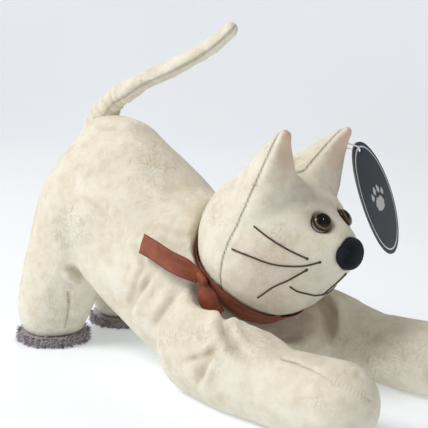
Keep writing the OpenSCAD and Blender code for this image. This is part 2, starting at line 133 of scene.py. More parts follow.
class Value:
    """A number that varies over a surface: one socket, with Python's operators as Math nodes."""

    def __init__(self, shader: "Shader", socket: bpy.types.NodeSocket) -> None:
        """Wraps a socket of a shader's node."""
        self.shader = shader
        self.socket = socket

    def math(self, operation: str, *others: "Value | float") -> "Value":
        """Joins this value and others in one Math node.

        Args:
            operation: the Math node's operation.
            others: the values or numbers after this one.
        Returns:
            The node's result.
        """
        inputs = {i: v for i, v in enumerate((self, *others))}
        return self.shader.value("ShaderNodeMath", {"operation": operation}, inputs)

    def __add__(self, other: "Value | float") -> "Value":
        """This plus other."""
        return self.math("ADD", other)

    def __sub__(self, other: "Value | float") -> "Value":
        """This less other."""
        return self.math("SUBTRACT", other)

    def __mul__(self, other: "Value | float") -> "Value":
        """This times other."""
        return self.math("MULTIPLY", other)

    def __radd__(self, other: float) -> "Value":
        """A number plus this."""
        return self + other

    def __rmul__(self, other: float) -> "Value":
        """A number times this."""
        return self * other

    def __rsub__(self, other: float) -> "Value":
        """A number less this."""
        return (self * -1.0) + other

    def ramp(self, low: float, high: float) -> "Value":
        """0 below low, 1 above high and smooth between them; low may be over high."""
        node = self.shader.node(
            "ShaderNodeMapRange",
            {"interpolation_type": "SMOOTHSTEP"},
            {0: self, 1: low, 2: high, 3: 0.0, 4: 1.0},
        )
        return Value(self.shader, node.outputs[0])

    def wave(self) -> "Value":
        """The sine of this, moved to 0..1."""
        return self.math("SINE") * 0.5 + 0.5


class Shader:
    """A material under construction, with its output and Principled node."""

    def __init__(self, name: str, **constants: float | Colour) -> None:
        """Starts a material.

        Args:
            name: the material's name.
            constants: values of the Principled node's sockets that don't vary.
        """
        self.material = bpy.data.materials.new(name)
        self.material.use_nodes = True
        self.tree = self.material.node_tree
        self.tree.nodes.clear()
        self.output = self.tree.nodes.new("ShaderNodeOutputMaterial")
        self.surface = self.tree.nodes.new("ShaderNodeBsdfPrincipled")
        self.tree.links.new(self.surface.outputs[0], self.output.inputs[0])
        for key, constant in constants.items():
            socket = self.surface.inputs[key.replace("_", " ").title().replace("Ior", "IOR")]
            socket.default_value = (*constant, 1.0) if isinstance(constant, tuple) else constant

    def node(self, kind: str, settings: Mapping[str, object], inputs: Mapping) -> bpy.types.Node:
        """Adds a node, its settings first, then what its sockets take.

        Args:
            kind: the node's type.
            settings: attribute values of the node.
            inputs: by socket name or place: a Value, a socket, a number or a tuple.
        Returns:
            The node.
        """
        node = self.tree.nodes.new(kind)
        for key, setting in settings.items():
            setattr(node, key, setting)
        for key, given in inputs.items():
            socket = node.inputs[key]
            given = given.socket if isinstance(given, Value) else given
            if isinstance(given, bpy.types.NodeSocket):
                self.tree.links.new(given, socket)
            else:
                socket.default_value = given
        return node

    def value(self, kind: str, settings: Mapping[str, object], inputs: Mapping, output: int = 0) -> Value:
        """Adds a node and returns one of its outputs as a Value."""
        return Value(self, self.node(kind, settings, inputs).outputs[output])

    def vector(self, operation: str, first: object, second: object) -> bpy.types.NodeSocket:
        """Two vectors, each a socket or a tuple, joined in a Vector Math node."""
        return self.node("ShaderNodeVectorMath", {"operation": operation}, {0: first, 1: second}).outputs[0]

    def place(self, stretch: tuple[float, float, float] = (1, 1, 1)) -> bpy.types.NodeSocket:
        """Object coordinates in metres, times a stretch."""
        source = self.node("ShaderNodeTexCoord", {}, {}).outputs["Object"]
        return self.vector("MULTIPLY", source, stretch)

    def attribute(self, name: str) -> Value:
        """A number that each vertex of the piece carries."""
        return self.value("ShaderNodeAttribute", {"attribute_name": name}, {}, 2)

    def noise(self, per_metre: float, detail: float = 3.0, roughness: float = 0.55,
              distortion: float = 0.0, at: bpy.types.NodeSocket | None = None) -> Value:
        """Noise around 0.5, with so many blots to the metre."""
        return self.value("ShaderNodeTexNoise", {}, {
            "Vector": at or self.place(), "Scale": per_metre, "Detail": detail,
            "Roughness": roughness, "Distortion": distortion})

    def cells(self, per_metre: float, at: bpy.types.NodeSocket) -> Value:
        """Distance in a soft field of cells, with so many cells to the metre."""
        return self.value("ShaderNodeTexVoronoi", {"feature": "SMOOTH_F1"},
                          {"Vector": at, "Scale": per_metre})

    def warped(self, per_metre: float, reach: float) -> bpy.types.NodeSocket:
        """Object coordinates pushed about by a coloured noise, by up to so many metres.

        Args:
            per_metre: blots of the noise to the metre.
            reach: how far it pushes.
        Returns:
            The socket with the pushed places.
        """
        push = self.node("ShaderNodeTexNoise", {}, {
            "Vector": self.place(), "Scale": per_metre, "Detail": 2.0}).outputs["Color"]
        centred = self.vector("SUBTRACT", push, (0.5, 0.5, 0.5))
        return self.vector("ADD", self.place(), self.vector("MULTIPLY", centred, (reach,) * 3))

    def mix(self, share: Value | float, low: object, high: object) -> bpy.types.NodeSocket:
        """A colour between low and high; each is a colour or a socket."""
        low, high = ((*c, 1.0) if isinstance(c, tuple) else c for c in (low, high))
        return self.node("ShaderNodeMix", {"data_type": "RGBA"}, {0: share, 6: low, 7: high}).outputs[2]

    def bump(self, height: Value, depth_mm: float, strength: float = 1.0) -> None:
        """Feeds a height, 1 for a step of so many millimetres, to the surface's normal."""
        node = self.node("ShaderNodeBump", {}, {"Height": height, "Strength": strength,
                                                "Distance": depth_mm * MM})
        self.tree.links.new(node.outputs[0], self.surface.inputs["Normal"])

    def feed(self, **sockets: Value | bpy.types.NodeSocket) -> "Shader":
        """Links varying values to the Principled node, by socket name in lower case."""
        for key, given in sockets.items():
            given = given.socket if isinstance(given, Value) else given
            self.tree.links.new(given, self.surface.inputs[key.replace("_", " ").title()])
        return self


# ======== finishes ========


@dataclass(frozen=True)
class CreamCloth:
    """Brushed cotton suede: matt, softly mottled, with fine crinkles and stitched seams, and painted shade in
    its hollows, folds and seams.
    """

    light: Colour = (0.82, 0.785, 0.67)
    shade: Colour = (0.69, 0.615, 0.475)
    # Warm pink-brown for painted shade on the ears' fronts and cheeks, with a little tint.
    blush: Colour = (0.62, 0.38, 0.28)
    grain: float = 1.0

    def build(self, name: str = "cream_cloth") -> bpy.types.Material:
        """Makes the material.

        Args:
            name: its name.
        Returns:
            The material. It reads the attributes seam, in millimetres from a seam, crease, 0 to 1 at
            the foot of a fold, for painted shade, and blush, 0 to 1 for painted warm shade and tint.
        """
        s = Shader(name, roughness=0.92, sheen_weight=0.25, sheen_roughness=0.6,
                   sheen_tint=(1.0, 0.96, 0.9), specular_ior_level=0.2)
        broad = s.noise(16, 3, 0.55, 0.4)
        crinkle = s.noise(150, 4, 0.62, 0.9)
        fold = s.cells(95, s.warped(60, 0.012))
        fibre = s.noise(1300, 2, 0.6)
        seam = s.attribute("seam")
        groove = 1 - seam.ramp(0.0, 1.3)
        nap = s.noise(70, 3, 0.6, 2.4)
        mark = (s.noise(85, 2, 0.5, 3.0) - 0.5).math("ABSOLUTE")
        streak = (1 - mark.ramp(0.0, 0.022)) * s.noise(22, 2, 0.5).ramp(0.48, 0.62)
        # Mottle between the cloth's lit and shaded tones: random tone, and painted shade where the crinkles,
        # folds and nap sit low.
        crinkle_shade_and_mottle = (crinkle * 0.45 + fold * 0.4 + broad * 0.4 + nap * 0.35).ramp(0.46, 1.0)
        colour = s.mix(crinkle_shade_and_mottle, self.shade, self.light)
        colour = s.mix(streak * 0.22, colour, self.shade)
        # Painted shade at the foot of the folds.
        colour = s.mix(s.attribute("crease") * 0.6, colour, tuple(c * 0.7 for c in self.shade))
        # Painted warm shade, with a little pink-brown tint, on the ears' fronts and cheeks.
        colour = s.mix(s.attribute("blush") * 0.85, colour, self.blush)
        # Painted shade along the seams' grooves.
        colour = s.mix(groove * 0.55, colour, tuple(c * 0.68 for c in self.shade))
        stitch = (s.attribute("along") * 2.4).wave() * (1 - seam.ramp(0.2, 3.2))
        height = (crinkle * 0.5 + fold * 0.45 + nap * 0.5 + fibre * 0.08 - streak * 0.2) * self.grain
        s.bump(height - groove * 1.1 + stitch * 0.25, 1.35, 0.9)
        return s.feed(base_color=colour).material


@dataclass(frozen=True)
class Satin:
    """Rust-brown satin ribbon: fine ribs across it, sheen along it and a woven edge."""

    light: Colour = (0.43, 0.115, 0.048)
    shade: Colour = (0.17, 0.032, 0.016)

    def build(self, name: str = "satin_ribbon") -> bpy.types.Material:
        """Makes the material, which reads the attributes across, -1 to 1, and along, in mm.

        Args:
            name: its name.
        Returns:
            The material.
        """
        s = Shader(name, roughness=0.38, sheen_weight=0.06, sheen_roughness=0.3,
                   specular_ior_level=0.45, anisotropic=0.5)
        across, along = s.attribute("across"), s.attribute("along")
        rib = (along * 9.0).wave()
        thread = (across * 130.0).wave()
        cloud = s.noise(120, 3, 0.6)
        edge = across.math("ABSOLUTE").ramp(0.84, 0.92)
        colour = s.mix((cloud * 0.8 + rib * 0.3).ramp(0.25, 0.95), self.shade, self.light)
        colour = s.mix(edge * 0.7, colour, self.shade)
        s.bump(rib * 0.5 + thread * 0.3 + cloud * 0.6 - edge * 0.6, 0.25, 0.8)
        return s.feed(base_color=colour, roughness=(cloud * 0.25 + 0.28)).material


@dataclass(frozen=True)
class Flock:
    """Short dark flock over the nose: black-navy, very matt, with fine grains."""

    light: Colour = (0.009, 0.011, 0.018)
    shade: Colour = (0.002, 0.0025, 0.005)

    def build(self, name: str = "nose_flock") -> bpy.types.Material:
        """Makes the material.

        Args:
            name: its name.
        Returns:
            The material.
        """
        s = Shader(name, roughness=0.85, sheen_weight=0.12, sheen_roughness=0.4,
                   sheen_tint=(0.55, 0.6, 0.8), specular_ior_level=0.25)
        grain = s.noise(2600, 3, 0.7)
        cloud = s.noise(220, 3, 0.6)
        colour = s.mix((grain * 0.6 + cloud * 0.5).ramp(0.3, 0.8), self.shade, self.light)
        s.bump(grain + cloud * 0.5, 0.35, 0.9)
        return s.feed(base_color=colour).material


@dataclass(frozen=True)
class EyePlastic:
    """Clear lacquer over an amber ring and a black pupil."""

    pupil: Colour = (0.004, 0.003, 0.003)
    amber: Colour = (0.17, 0.095, 0.03)
    rim: Colour = (0.03, 0.012, 0.005)

    def build(self, name: str = "eye_plastic") -> bpy.types.Material:
        """Makes the material, which reads the attribute radial, 0 at the middle and 1 at the rim.

        Args:
            name: its name.
        Returns:
            The material.
        """
        s = Shader(name, roughness=0.3, specular_ior_level=0.1,
                   coat_weight=0.75, coat_roughness=0.03, coat_ior=1.4)
        radial = s.attribute("radial")
        rays = s.noise(900, 2, 0.6) * 0.12
        ring = s.mix((radial + rays).ramp(0.93, 1.03), self.amber, self.rim)
        colour = s.mix((radial + rays * 0.4).ramp(0.80, 0.88), self.pupil, ring)
        return s.feed(base_color=colour).material


@dataclass(frozen=True)
class Thread:
    """Dark brown twisted cotton."""

    light: Colour = (0.115, 0.055, 0.038)
    shade: Colour = (0.03, 0.015, 0.012)

    def build(self, name: str = "dark_thread") -> bpy.types.Material:
        """Makes the material, which reads the attributes along, in mm, and turn, in radians.

        Args:
            name: its name.
        Returns:
            The material.
        """
        s = Shader(name, roughness=0.8, sheen_weight=0.2, sheen_roughness=0.5)
        ply = (s.attribute("along") * 3.6 + s.attribute("turn") * 2.0).wave()
        fluff = s.noise(3000, 2, 0.6)
        s.bump(ply + fluff * 0.4, 0.25, 1.0)
        colour = s.mix((ply * 0.7 + fluff * 0.4).ramp(0.2, 0.9), self.shade, self.light)
        return s.feed(base_color=colour).material


@dataclass(frozen=True)
class PadFur:
    """Short grey-mauve pile with pale tips."""

    root: Colour = (0.15, 0.12, 0.145)
    middle: Colour = (0.52, 0.46, 0.50)
    tip: Colour = (0.90, 0.87, 0.86)

    def build(self, name: str = "pad_fur") -> bpy.types.Material:
        """Makes the material, which reads the attribute tip, 0 at a hair's root and 1 at its tip.

        Args:
            name: its name.
        Returns:
            The material.
        """
        s = Shader(name, roughness=0.95, sheen_weight=0.4, sheen_roughness=0.5)
        clump = s.noise(210, 4, 0.65, 0.8)
        hair = s.noise(900, 3, 0.7, 0.0, s.place((1, 1, 0.25)))
        colour = s.mix((clump * 0.8 + hair * 0.5).ramp(0.42, 0.9), self.root, self.middle)
        colour = s.mix((s.attribute("tip") * 0.8 + hair * 0.5 - 0.25).ramp(0.35, 1.0), colour, self.tip)
        s.bump(hair + clump * 0.6, 0.8, 0.9)
        return s.feed(base_color=colour).material


@dataclass(frozen=True)
class TagCard:
    """Slate card with a fine pale border line, a soft sheen and pale cut edges."""

    face: Colour = (0.026, 0.036, 0.048)
    line: Colour = (0.80, 0.81, 0.80)
    cut: Colour = (0.16, 0.17, 0.18)

    def build(self, name: str = "tag_card") -> bpy.types.Material:
        """Makes the material, which reads the attributes radial, 1 at the card's edge, and cut.

        Args:
            name: its name.
        Returns:
            The material.
        """
        s = Shader(name, roughness=0.5, specular_ior_level=0.45)
        radial = s.attribute("radial")
        fibre = s.noise(500, 4, 0.65)
        cloud = s.noise(60, 3, 0.6)
        border = radial.ramp(0.895, 0.905) * (1 - radial.ramp(0.925, 0.935))
        motif = s.attribute("motif").ramp(0.4, 0.6)
        face = s.mix((fibre * 0.5 + cloud * 0.6).ramp(0.3, 0.9), self.face, tuple(c * 1.7 for c in self.face))
        colour = s.mix(border * 0.95, face, self.line)
        colour = s.mix(motif * 0.7, colour, self.line)
        colour = s.mix(s.attribute("cut").ramp(0.4, 0.6), colour, self.cut)
        s.bump(fibre * 0.6 - border * 0.8 - motif * 0.6, 0.12, 0.6)
        return s.feed(base_color=colour, roughness=(fibre * 0.25 + 0.38)).material


@dataclass(frozen=True)
class Plain:
    """A moulded, spun or drawn finish for small and inner pieces."""

    name: str
    light: Colour
    shade: Colour
    per_metre: float = 300
    roughness: float = 0.5
    metallic: float = 0.0
    depth_mm: float = 0.1

    def build(self) -> bpy.types.Material:
        """Makes the material, mottled between its two colours, with a matching bump.

        Returns:
            The material.
        """
        s = Shader(self.name, roughness=self.roughness, metallic=self.metallic)
        cloud = s.noise(self.per_metre, 4, 0.65, 0.4)
        grain = s.noise(self.per_metre * 6, 2, 0.6)
        s.bump(cloud + grain * 0.5, self.depth_mm, 0.7)
        colour = s.mix((cloud * 0.8 + grain * 0.3).ramp(0.3, 0.8), self.shade, self.light)
        return s.feed(base_color=colour).material



# ======== meshes from arrays ========


def unit(v: Points) -> Points:
    """Each vector over its length."""
    return v / np.maximum(np.linalg.norm(v, axis=-1, keepdims=True), 1e-12)


def new_object(name: str, points: Points, faces: Sequence[Points], smooth: bool = True) -> bpy.types.Object:
    """Makes an object from points and faces.

    Args:
        name: the piece's name.
        points: an array of N by 3.
        faces: arrays of corner indices, one array for triangles and one for quads.
        smooth: whether it is shaded smooth.
    Returns:
        The object, linked to the scene.
    """
    mesh = bpy.data.meshes.new(name)
    loops = np.concatenate([f.ravel() for f in faces]).astype(np.int32)
    sizes = np.concatenate([np.full(len(f), f.shape[1]) for f in faces]).astype(np.int32)
    mesh.vertices.add(len(points))
    mesh.vertices.foreach_set("co", np.asarray(points, np.float32).ravel())
    mesh.loops.add(len(loops))
    mesh.loops.foreach_set("vertex_index", loops)
    mesh.polygons.add(len(sizes))
    mesh.polygons.foreach_set("loop_start", np.concatenate([[0], np.cumsum(sizes)[:-1]]).astype(np.int32))
    mesh.polygons.foreach_set("use_smooth", np.full(len(sizes), smooth))
    mesh.update(calc_edges=True)
    mesh.validate()
    obj = bpy.data.objects.new(name, mesh)
    bpy.context.scene.collection.objects.link(obj)
    return obj


def put_attribute(obj: bpy.types.Object, name: str, numbers: Points) -> None:
    """Gives each vertex of a piece a number that its material reads."""
    attribute = obj.data.attributes.get(name) or obj.data.attributes.new(name, "FLOAT", "POINT")
    attribute.data.foreach_set("value", np.asarray(numbers, np.float32).ravel())


def positions(mesh: bpy.types.Mesh) -> Points:
    """A mesh's points, N by 3.

    Args:
        mesh: any mesh.
    Returns:
        An array of N by 3, in metres.
    """
    co = np.zeros(len(mesh.vertices) * 3, np.float32)
    mesh.vertices.foreach_get("co", co)
    return co.reshape(-1, 3).astype(float)


def face_corners(mesh: bpy.types.Mesh) -> list[Points]:
    """The corner indices of a mesh's faces: its triangles, then its quads."""
    found = ([p.vertices[:] for p in mesh.polygons if len(p.vertices) == k] for k in (3, 4))
    return [np.array(f, np.int32).reshape(-1, k) for f, k in zip(found, (3, 4)) if f]


def normals(mesh: bpy.types.Mesh) -> Points:
    """A mesh's point normals, N by 3.

    Args:
        mesh: any mesh.
    Returns:
        An array of N by 3.
    """
    n = np.zeros(len(mesh.vertices) * 3, np.float32)
    mesh.vertex_normals.foreach_get("vector", n)
    return n.reshape(-1, 3).astype(float)


def move_to(mesh: bpy.types.Mesh, points: Points) -> None:
    """Sets a mesh's points."""
    mesh.vertices.foreach_set("co", points.astype(np.float32).ravel())
    mesh.update()


def grid_quads(rows: int, columns: int, wrap: bool, ring: bool = False) -> Points:
    """Corner indices of the quads of a grid whose columns, and as a ring its rows, may close round.

    Args:
        rows: rows of points.
        columns: points in a row.
        wrap: whether the last column joins the first.
        ring: whether the last row joins the first.
    Returns:
        An array of N by 4.
    """
    r = np.arange(rows if ring else rows - 1)[:, None]
    c = np.arange(columns if wrap else columns - 1)[None, :]
    q, d = (r + 1) % rows, (c + 1) % columns
    return np.stack([r * columns + c, r * columns + d, q * columns + d, q * columns + c], -1).reshape(-1, 4)


def grid_object(name: str, points: Points, wrap: bool = False, poles: bool = False,
                attributes: Mapping[str, Points] | None = None, ring: bool = False) -> bpy.types.Object:
    """Makes a surface from a grid of points.

    Args:
        name: the piece's name.
        points: rows by columns by 3.
        wrap: whether the last column joins the first.
        poles: whether the first and last rows are closed by a point at their middle.
        attributes: numbers for the points, rows by columns.
        ring: whether the last row joins the first.
    Returns:
        The object.
    """
    rows, columns = points.shape[:2]
    flat = points.reshape(-1, 3)
    faces = [grid_quads(rows, columns, wrap, ring)]
    numbers = {k: np.broadcast_to(v, (rows, columns)).ravel() for k, v in (attributes or {}).items()}
    if poles:
        c = np.arange(columns)
        d = (c + 1) % columns
        count = rows * columns
        last = (rows - 1) * columns
        faces += [np.stack([np.full(columns, count), d, c], -1),
                  np.stack([np.full(columns, count + 1), last + c, last + d], -1)]
        flat = np.concatenate([flat, points[:1].mean(1), points[-1:].mean(1)])
        numbers = {k: np.concatenate([v, [v[:columns].mean(), v[-columns:].mean()]])
                   for k, v in numbers.items()}
    obj = new_object(name, flat, faces)
    for key, given in numbers.items():
        put_attribute(obj, key, given)
    return obj


def tube(name: str, path: Points, radius: Points, up: Points, sides: int = 12,
         attributes: Mapping[str, Points] | None = None) -> bpy.types.Object:
    """A closed tube: point(i, a) = path(i) + r(i, a) (cos a side(i) + sin a up(i)).

    Args:
        name: the piece's name.
        path: N by 3.
        radius: N, or N by sides.
        up: a direction, or N by 3, that isn't along the path.
        sides: points round the tube.
        attributes: more numbers for the points, N by 1 or N by sides.
    Returns:
        The object, with the attributes along, in mm, and turn, in radians.
    """
    forward = unit(np.gradient(path, axis=0))
    side = unit(np.cross(forward, np.broadcast_to(up, path.shape)))
    over = np.cross(side, forward)
    a = np.linspace(0, 2 * pi, sides, endpoint=False)
    r = np.broadcast_to(np.asarray(radius, float).reshape(len(path), -1), (len(path), sides))
    points = path[:, None] + r[..., None] * (np.cos(a)[None, :, None] * side[:, None]
                                             + np.sin(a)[None, :, None] * over[:, None])
    steps = np.linalg.norm(np.diff(path, axis=0), axis=1)
    along = np.concatenate([[0], np.cumsum(steps)]) / MM
    given = {"along": along[:, None], "turn": a[None, :], **(attributes or {})}
    turned = {k: np.broadcast_to(v, r.shape)[:, ::-1] for k, v in given.items()}
    return grid_object(name, points[:, ::-1], True, True, turned)


def smooth_path(knots: Sequence[Sequence[float]] | Points, count: int) -> Points:
    """A curve through knots: Catmull-Rom cubics on equal steps of the parameter.

    Args:
        knots: the places that it passes, N by 3.
        count: points on the curve.
    Returns:
        An array of count by 3.
    """
    k = np.asarray(knots, float)
    k = np.concatenate([2 * k[:1] - k[1:2], k, 2 * k[-1:] - k[-2:-1]])
    t = np.linspace(0, len(k) - 3, count)
    i = np.minimum(t.astype(int), len(k) - 4)
    u = (t - i)[:, None]
    a, b, c, d = k[i], k[i + 1], k[i + 2], k[i + 3]
    square, cube = 2 * a - 5 * b + 4 * c - d, 3 * b - a - 3 * c + d
    return 0.5 * (2 * b + (c - a) * u + square * u ** 2 + cube * u ** 3)


def distance_to_path(points: Points, path: Points) -> tuple[Points, Points]:
    """For each point, its distance to a path's nearest segment and the length along the path there.

    Args:
        points: N by 3.
        path: M by 3.
    Returns:
        Two arrays of N.
    """
    a, b = path[:-1], path[1:]
    d = b - a
    size = np.maximum((d * d).sum(1), 1e-12)
    t = np.clip(((points[:, None] - a) * d).sum(2) / size, 0, 1)
    gap = np.linalg.norm(points[:, None] - a - t[..., None] * d, axis=2)
    best = gap.argmin(1)
    rows = np.arange(len(points))
    start = np.concatenate([[0], np.cumsum(np.sqrt(size))[:-1]])
    return gap[rows, best], start[best] + t[rows, best] * np.sqrt(size[best])


def round_ring(count: int, x: Points, y: Points) -> Points:
    """Directions round a circle, 1 by count by 3: cos a x + sin a y."""
    a = np.linspace(0, 2 * pi, count, endpoint=False)
    return np.cos(a)[None, :, None] * x + np.sin(a)[None, :, None] * y


def surface_tree(obj: bpy.types.Object) -> BVHTree:
    """A tree that finds the nearest place on a piece."""
    mesh = obj.data
    return BVHTree.FromPolygons([v.co for v in mesh.vertices], [tuple(p.vertices) for p in mesh.polygons])


def laid_on(tree: BVHTree, points: Points, gap: float) -> Points:
    """Moves the points that are less than the gap above a piece's surface out to it, along its normal.

    Args:
        tree: finds the nearest place on the piece.
        points: an array whose last axis is 3.
        gap: the least height over the surface.
    Returns:
        The points, in the same shape.
    """
    flat = points.reshape(-1, 3)
    found = [tree.find_nearest(Vector(p)) for p in flat]
    near = np.array([f[0] for f in found])
    n = np.array([f[1] for f in found])
    above = ((flat - near) * n).sum(1)
    lack = np.where(np.linalg.norm(flat - near, axis=1) < 0.03, np.maximum(gap - above, 0), 0)
    return (flat + lack[:, None] * n).reshape(points.shape)


def bell(x: Points, width: float) -> Points:
    """exp(-(x / width)^2)."""
    return np.exp(-(x / width) ** 2)


def step(x: Points, low: float, high: float) -> Points:
    """0 below low, 1 above high, and 3t^2 - 2t^3 between them."""
    t = np.clip((x - low) / (high - low), 0, 1)
    return t * t * (3 - 2 * t)


def slow_noise(points: Points, wavelength: float, seed: int, waves: int = 9) -> Points:
    """A sum of sine waves in random directions, about -1 to 1, with a seeded choice.

    Args:
        points: N by 3.
        wavelength: the middle one of the waves.
        seed: for the choice.
        waves: how many are added.
    Returns:
        An array of N.
    """
    rng = np.random.default_rng(seed)
    directions = unit(rng.normal(size=(waves, 3))) * 2 * pi / wavelength * rng.uniform(0.6, 1.5, (waves, 1))
    phases = rng.uniform(0, 2 * pi, waves)
    return np.sin(points @ directions.T + phases).sum(1) / sqrt(waves)


# ======== stuffed pieces ========


@dataclass
class Crease:
    """A fold or seam in the cloth: a line through knots, in mm, with its depth and width in mm."""

    knots: Sequence[Sequence[float]]
    depth: float = 1.5
    width: float = 2.5
    seam: bool = False

    def path(self) -> Points:
        """The line, in metres."""
        return smooth_path(np.asarray(self.knots, float) * MM, 8 * len(self.knots))


def both(knots: Sequence[Sequence[float]], depth: float, width: float,
         seam: bool = False) -> tuple[Crease, Crease]:
    """The same crease on the left side, where its knots are, and mirrored on the right."""
    mirrored = [(-x, y, z) for x, y, z in knots]
    return Crease(knots, depth, width, seam), Crease(mirrored, depth, width, seam)


@dataclass
class Stuffed:
    """A stuffed cloth form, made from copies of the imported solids.

    The copies are remeshed as one skin, relaxed, blown up by a cloth simulation, subdivided,
    and then creased. The pressure is the simulation's, and the cap is how far a point may move.
    """

    name: str
    nodes: tuple[str, ...]
    voxel: float = 4 * MM
    rounds: int = 14
    pressure: float = 4.0
    cap: float = 3 * MM
    levels: int = 1
    object: bpy.types.Object = field(init=False, repr=False)

    def skin(self, frame: Mapping) -> None:
        """Remeshes the joined solids and keeps the outermost skin.

        Args:
            frame: what load() returned.
        """
        points, faces, count = [], [], 0
        for node in self.nodes:
            mesh = frame["nodes"][node].data
            mesh.calc_loop_triangles()
            corners = np.zeros(len(mesh.loop_triangles) * 3, np.int32)
            mesh.loop_triangles.foreach_get("vertices", corners)
            points.append(positions(mesh))
            faces.append(corners.reshape(-1, 3) + count)
            count += len(mesh.vertices)
        rough = new_object(self.name + "_rough", np.concatenate(points), [np.concatenate(faces)])
        remesh = rough.modifiers.new("skin", "REMESH")
        remesh.mode = "VOXEL"
        remesh.voxel_size = self.voxel
        mesh = self.evaluated(rough)
        corners = np.zeros(len(mesh.polygons) * 4, np.int32)
        mesh.polygons.foreach_get("vertices", corners)
        quads, co = corners.reshape(-1, 4), positions(mesh)
        part = self.parts(len(co), quads)
        sizes = {int(k): np.ptp(co[part == k], axis=0).prod() for k in np.unique(part)}
        keep = part == max(sizes, key=sizes.get)
        renumber = np.cumsum(keep) - 1
        self.object = new_object(self.name, co[keep], [renumber[quads[keep[quads[:, 0]]]]])
        bpy.data.objects.remove(rough)

    @staticmethod
    def evaluated(obj: bpy.types.Object) -> bpy.types.Mesh:
        """The mesh of an object with its modifiers applied.

        Args:
            obj: the object.
        Returns:
            A new mesh.
        """
        graph = bpy.context.evaluated_depsgraph_get()
        graph.update()
        return bpy.data.meshes.new_from_object(obj.evaluated_get(graph))

    @staticmethod
    def parts(count: int, quads: Points) -> Points:
        """A number for each point that all points joined to it share.

        Args:
            count: the number of points.
            quads: the corner indices.
        Returns:
            The lowest index in each part, passed on until none changes.
        """
        label = np.arange(count)
        a, b = quads.ravel(), np.roll(quads, 1, axis=1).ravel()
        while True:
            before = label.copy()
            np.minimum.at(label, a, label[b])
            np.minimum.at(label, b, label[a])
            label = label[label]
            if (label == before).all():
                return label

    def relax(self, rounds: int, share: float = 0.6, back: float = -0.62) -> None:
        """Moves points towards the mean of their neighbours and back out again, which keeps the volume.

        Args:
            rounds: pairs of moves.
            share: of the way to the mean.
            back: of the way back.
        """
        mesh = self.object.data
        edges = np.zeros(len(mesh.edges) * 2, np.int32)
        mesh.edges.foreach_get("vertices", edges)
        a, b = edges.reshape(-1, 2).T
        co = positions(mesh)
        near = np.bincount(np.concatenate([a, b]), minlength=len(co))[:, None]
        for _ in range(rounds):
            for way in (share, back):
                mean = np.stack([np.bincount(a, co[b, k], len(co)) + np.bincount(b, co[a, k], len(co))
                                 for k in range(3)], 1) / near
                co = co + way * (mean - co)
        move_to(mesh, co)

    def inflate(self) -> None:
        """Runs the cloth simulation and keeps its result, no further than the cap."""
        obj = self.object
        start = positions(obj.data)
        cloth = obj.modifiers.new("stuffing", "CLOTH")
        settings = cloth.settings
        settings.quality = 4
        settings.mass = 0.2
        settings.use_pressure = True
        settings.uniform_pressure_force = self.pressure
        settings.tension_stiffness = settings.compression_stiffness = 12
        settings.shear_stiffness = 6
        settings.bending_stiffness = 0.4
        settings.effector_weights.gravity = 0
        scene = bpy.context.scene
        cloth.point_cache.frame_start, cloth.point_cache.frame_end = 1, SIM_FRAMES
        for frame_number in range(1, SIM_FRAMES + 1):
            scene.frame_set(frame_number)
        mesh = self.evaluated(obj)
        moved = positions(mesh) - start
        length = np.linalg.norm(moved, axis=1, keepdims=True)
        obj.modifiers.remove(cloth)
        scene.frame_set(1)
        move_to(obj.data, start + moved * np.minimum(1, self.cap / np.maximum(length, 1e-9)))
        bpy.data.meshes.remove(mesh)

    def subdivide(self) -> None:
        """Subdivides the skin and keeps the result."""
        modifier = self.object.modifiers.new("smooth", "SUBSURF")
        modifier.levels = modifier.render_levels = self.levels
        mesh = self.evaluated(self.object)
        self.object.modifiers.remove(modifier)
        old, self.object.data = self.object.data, mesh
        bpy.data.meshes.remove(old)
        mesh.polygons.foreach_set("use_smooth", np.full(len(mesh.polygons), True))

    def crease(self, creases: Sequence[Crease]) -> None:
        """Presses folds in: each point moves in along its normal by depth times the bell of its
        distance, and the cloth beside a fold rises by a third of that.

        Args:
            creases: the folds. A seam also writes the attribute seam, a fold the attribute crease, for
                painted shade at its foot.
        """
        mesh = self.object.data
        co, n = positions(mesh), normals(mesh)
        seam = np.full(len(co), FAR_FROM_SEAM)
        fold = np.zeros(len(co))
        along = np.zeros(len(co))
        moved = np.zeros(len(co))
        for crease in creases:
            path = crease.path()
            reach = crease.width * 3 * MM
            low, high = path.min(0) - reach, path.max(0) + reach
            near = np.flatnonzero(((co > low) & (co < high)).all(1))
            if not len(near):
                continue
            gap, length = distance_to_path(co[near], path)
            total = np.linalg.norm(np.diff(path, axis=0), axis=1).sum()
            width = crease.width * MM
            end = np.minimum(length, total - length)
            ends = 1.0 if crease.seam else np.minimum(1, end / (0.3 * total) + 0.1)
            pull = crease.depth * MM * ends * (bell(gap, width) - 0.35 * bell(gap - 2 * width, width))
            moved[near] -= pull
            if crease.seam:
                closer = gap / MM < seam[near]
                seam[near] = np.where(closer, gap / MM, seam[near])
                along[near] = np.where(closer, length / MM, along[near])
            else:
                # How much painted shade the cloth gets at the foot of the fold.
                shade = np.minimum(1, crease.depth / 2) * ends * bell(gap, 0.8 * width)
                fold[near] = np.maximum(fold[near], shade)
        move_to(mesh, co + n * moved[:, None])
        put_attribute(self.object, "seam", seam)
        put_attribute(self.object, "along", along)
        put_attribute(self.object, "crease", fold)
        put_attribute(self.object, "blush", np.zeros(len(co)))

    def rumple(self, height: float, wavelength: float, seed: int) -> None:
        """Moves each point along its normal by a slow noise of that height, for hand-filled unevenness.

        Args:
            height: of the unevenness.
            wavelength: from one hump to the next.
            seed: for the noise.
        """
        mesh = self.object.data
        co = positions(mesh)
        move_to(mesh, co + normals(mesh) * (height * slow_noise(co, wavelength, seed))[:, None])


# ======== the body and legs ========


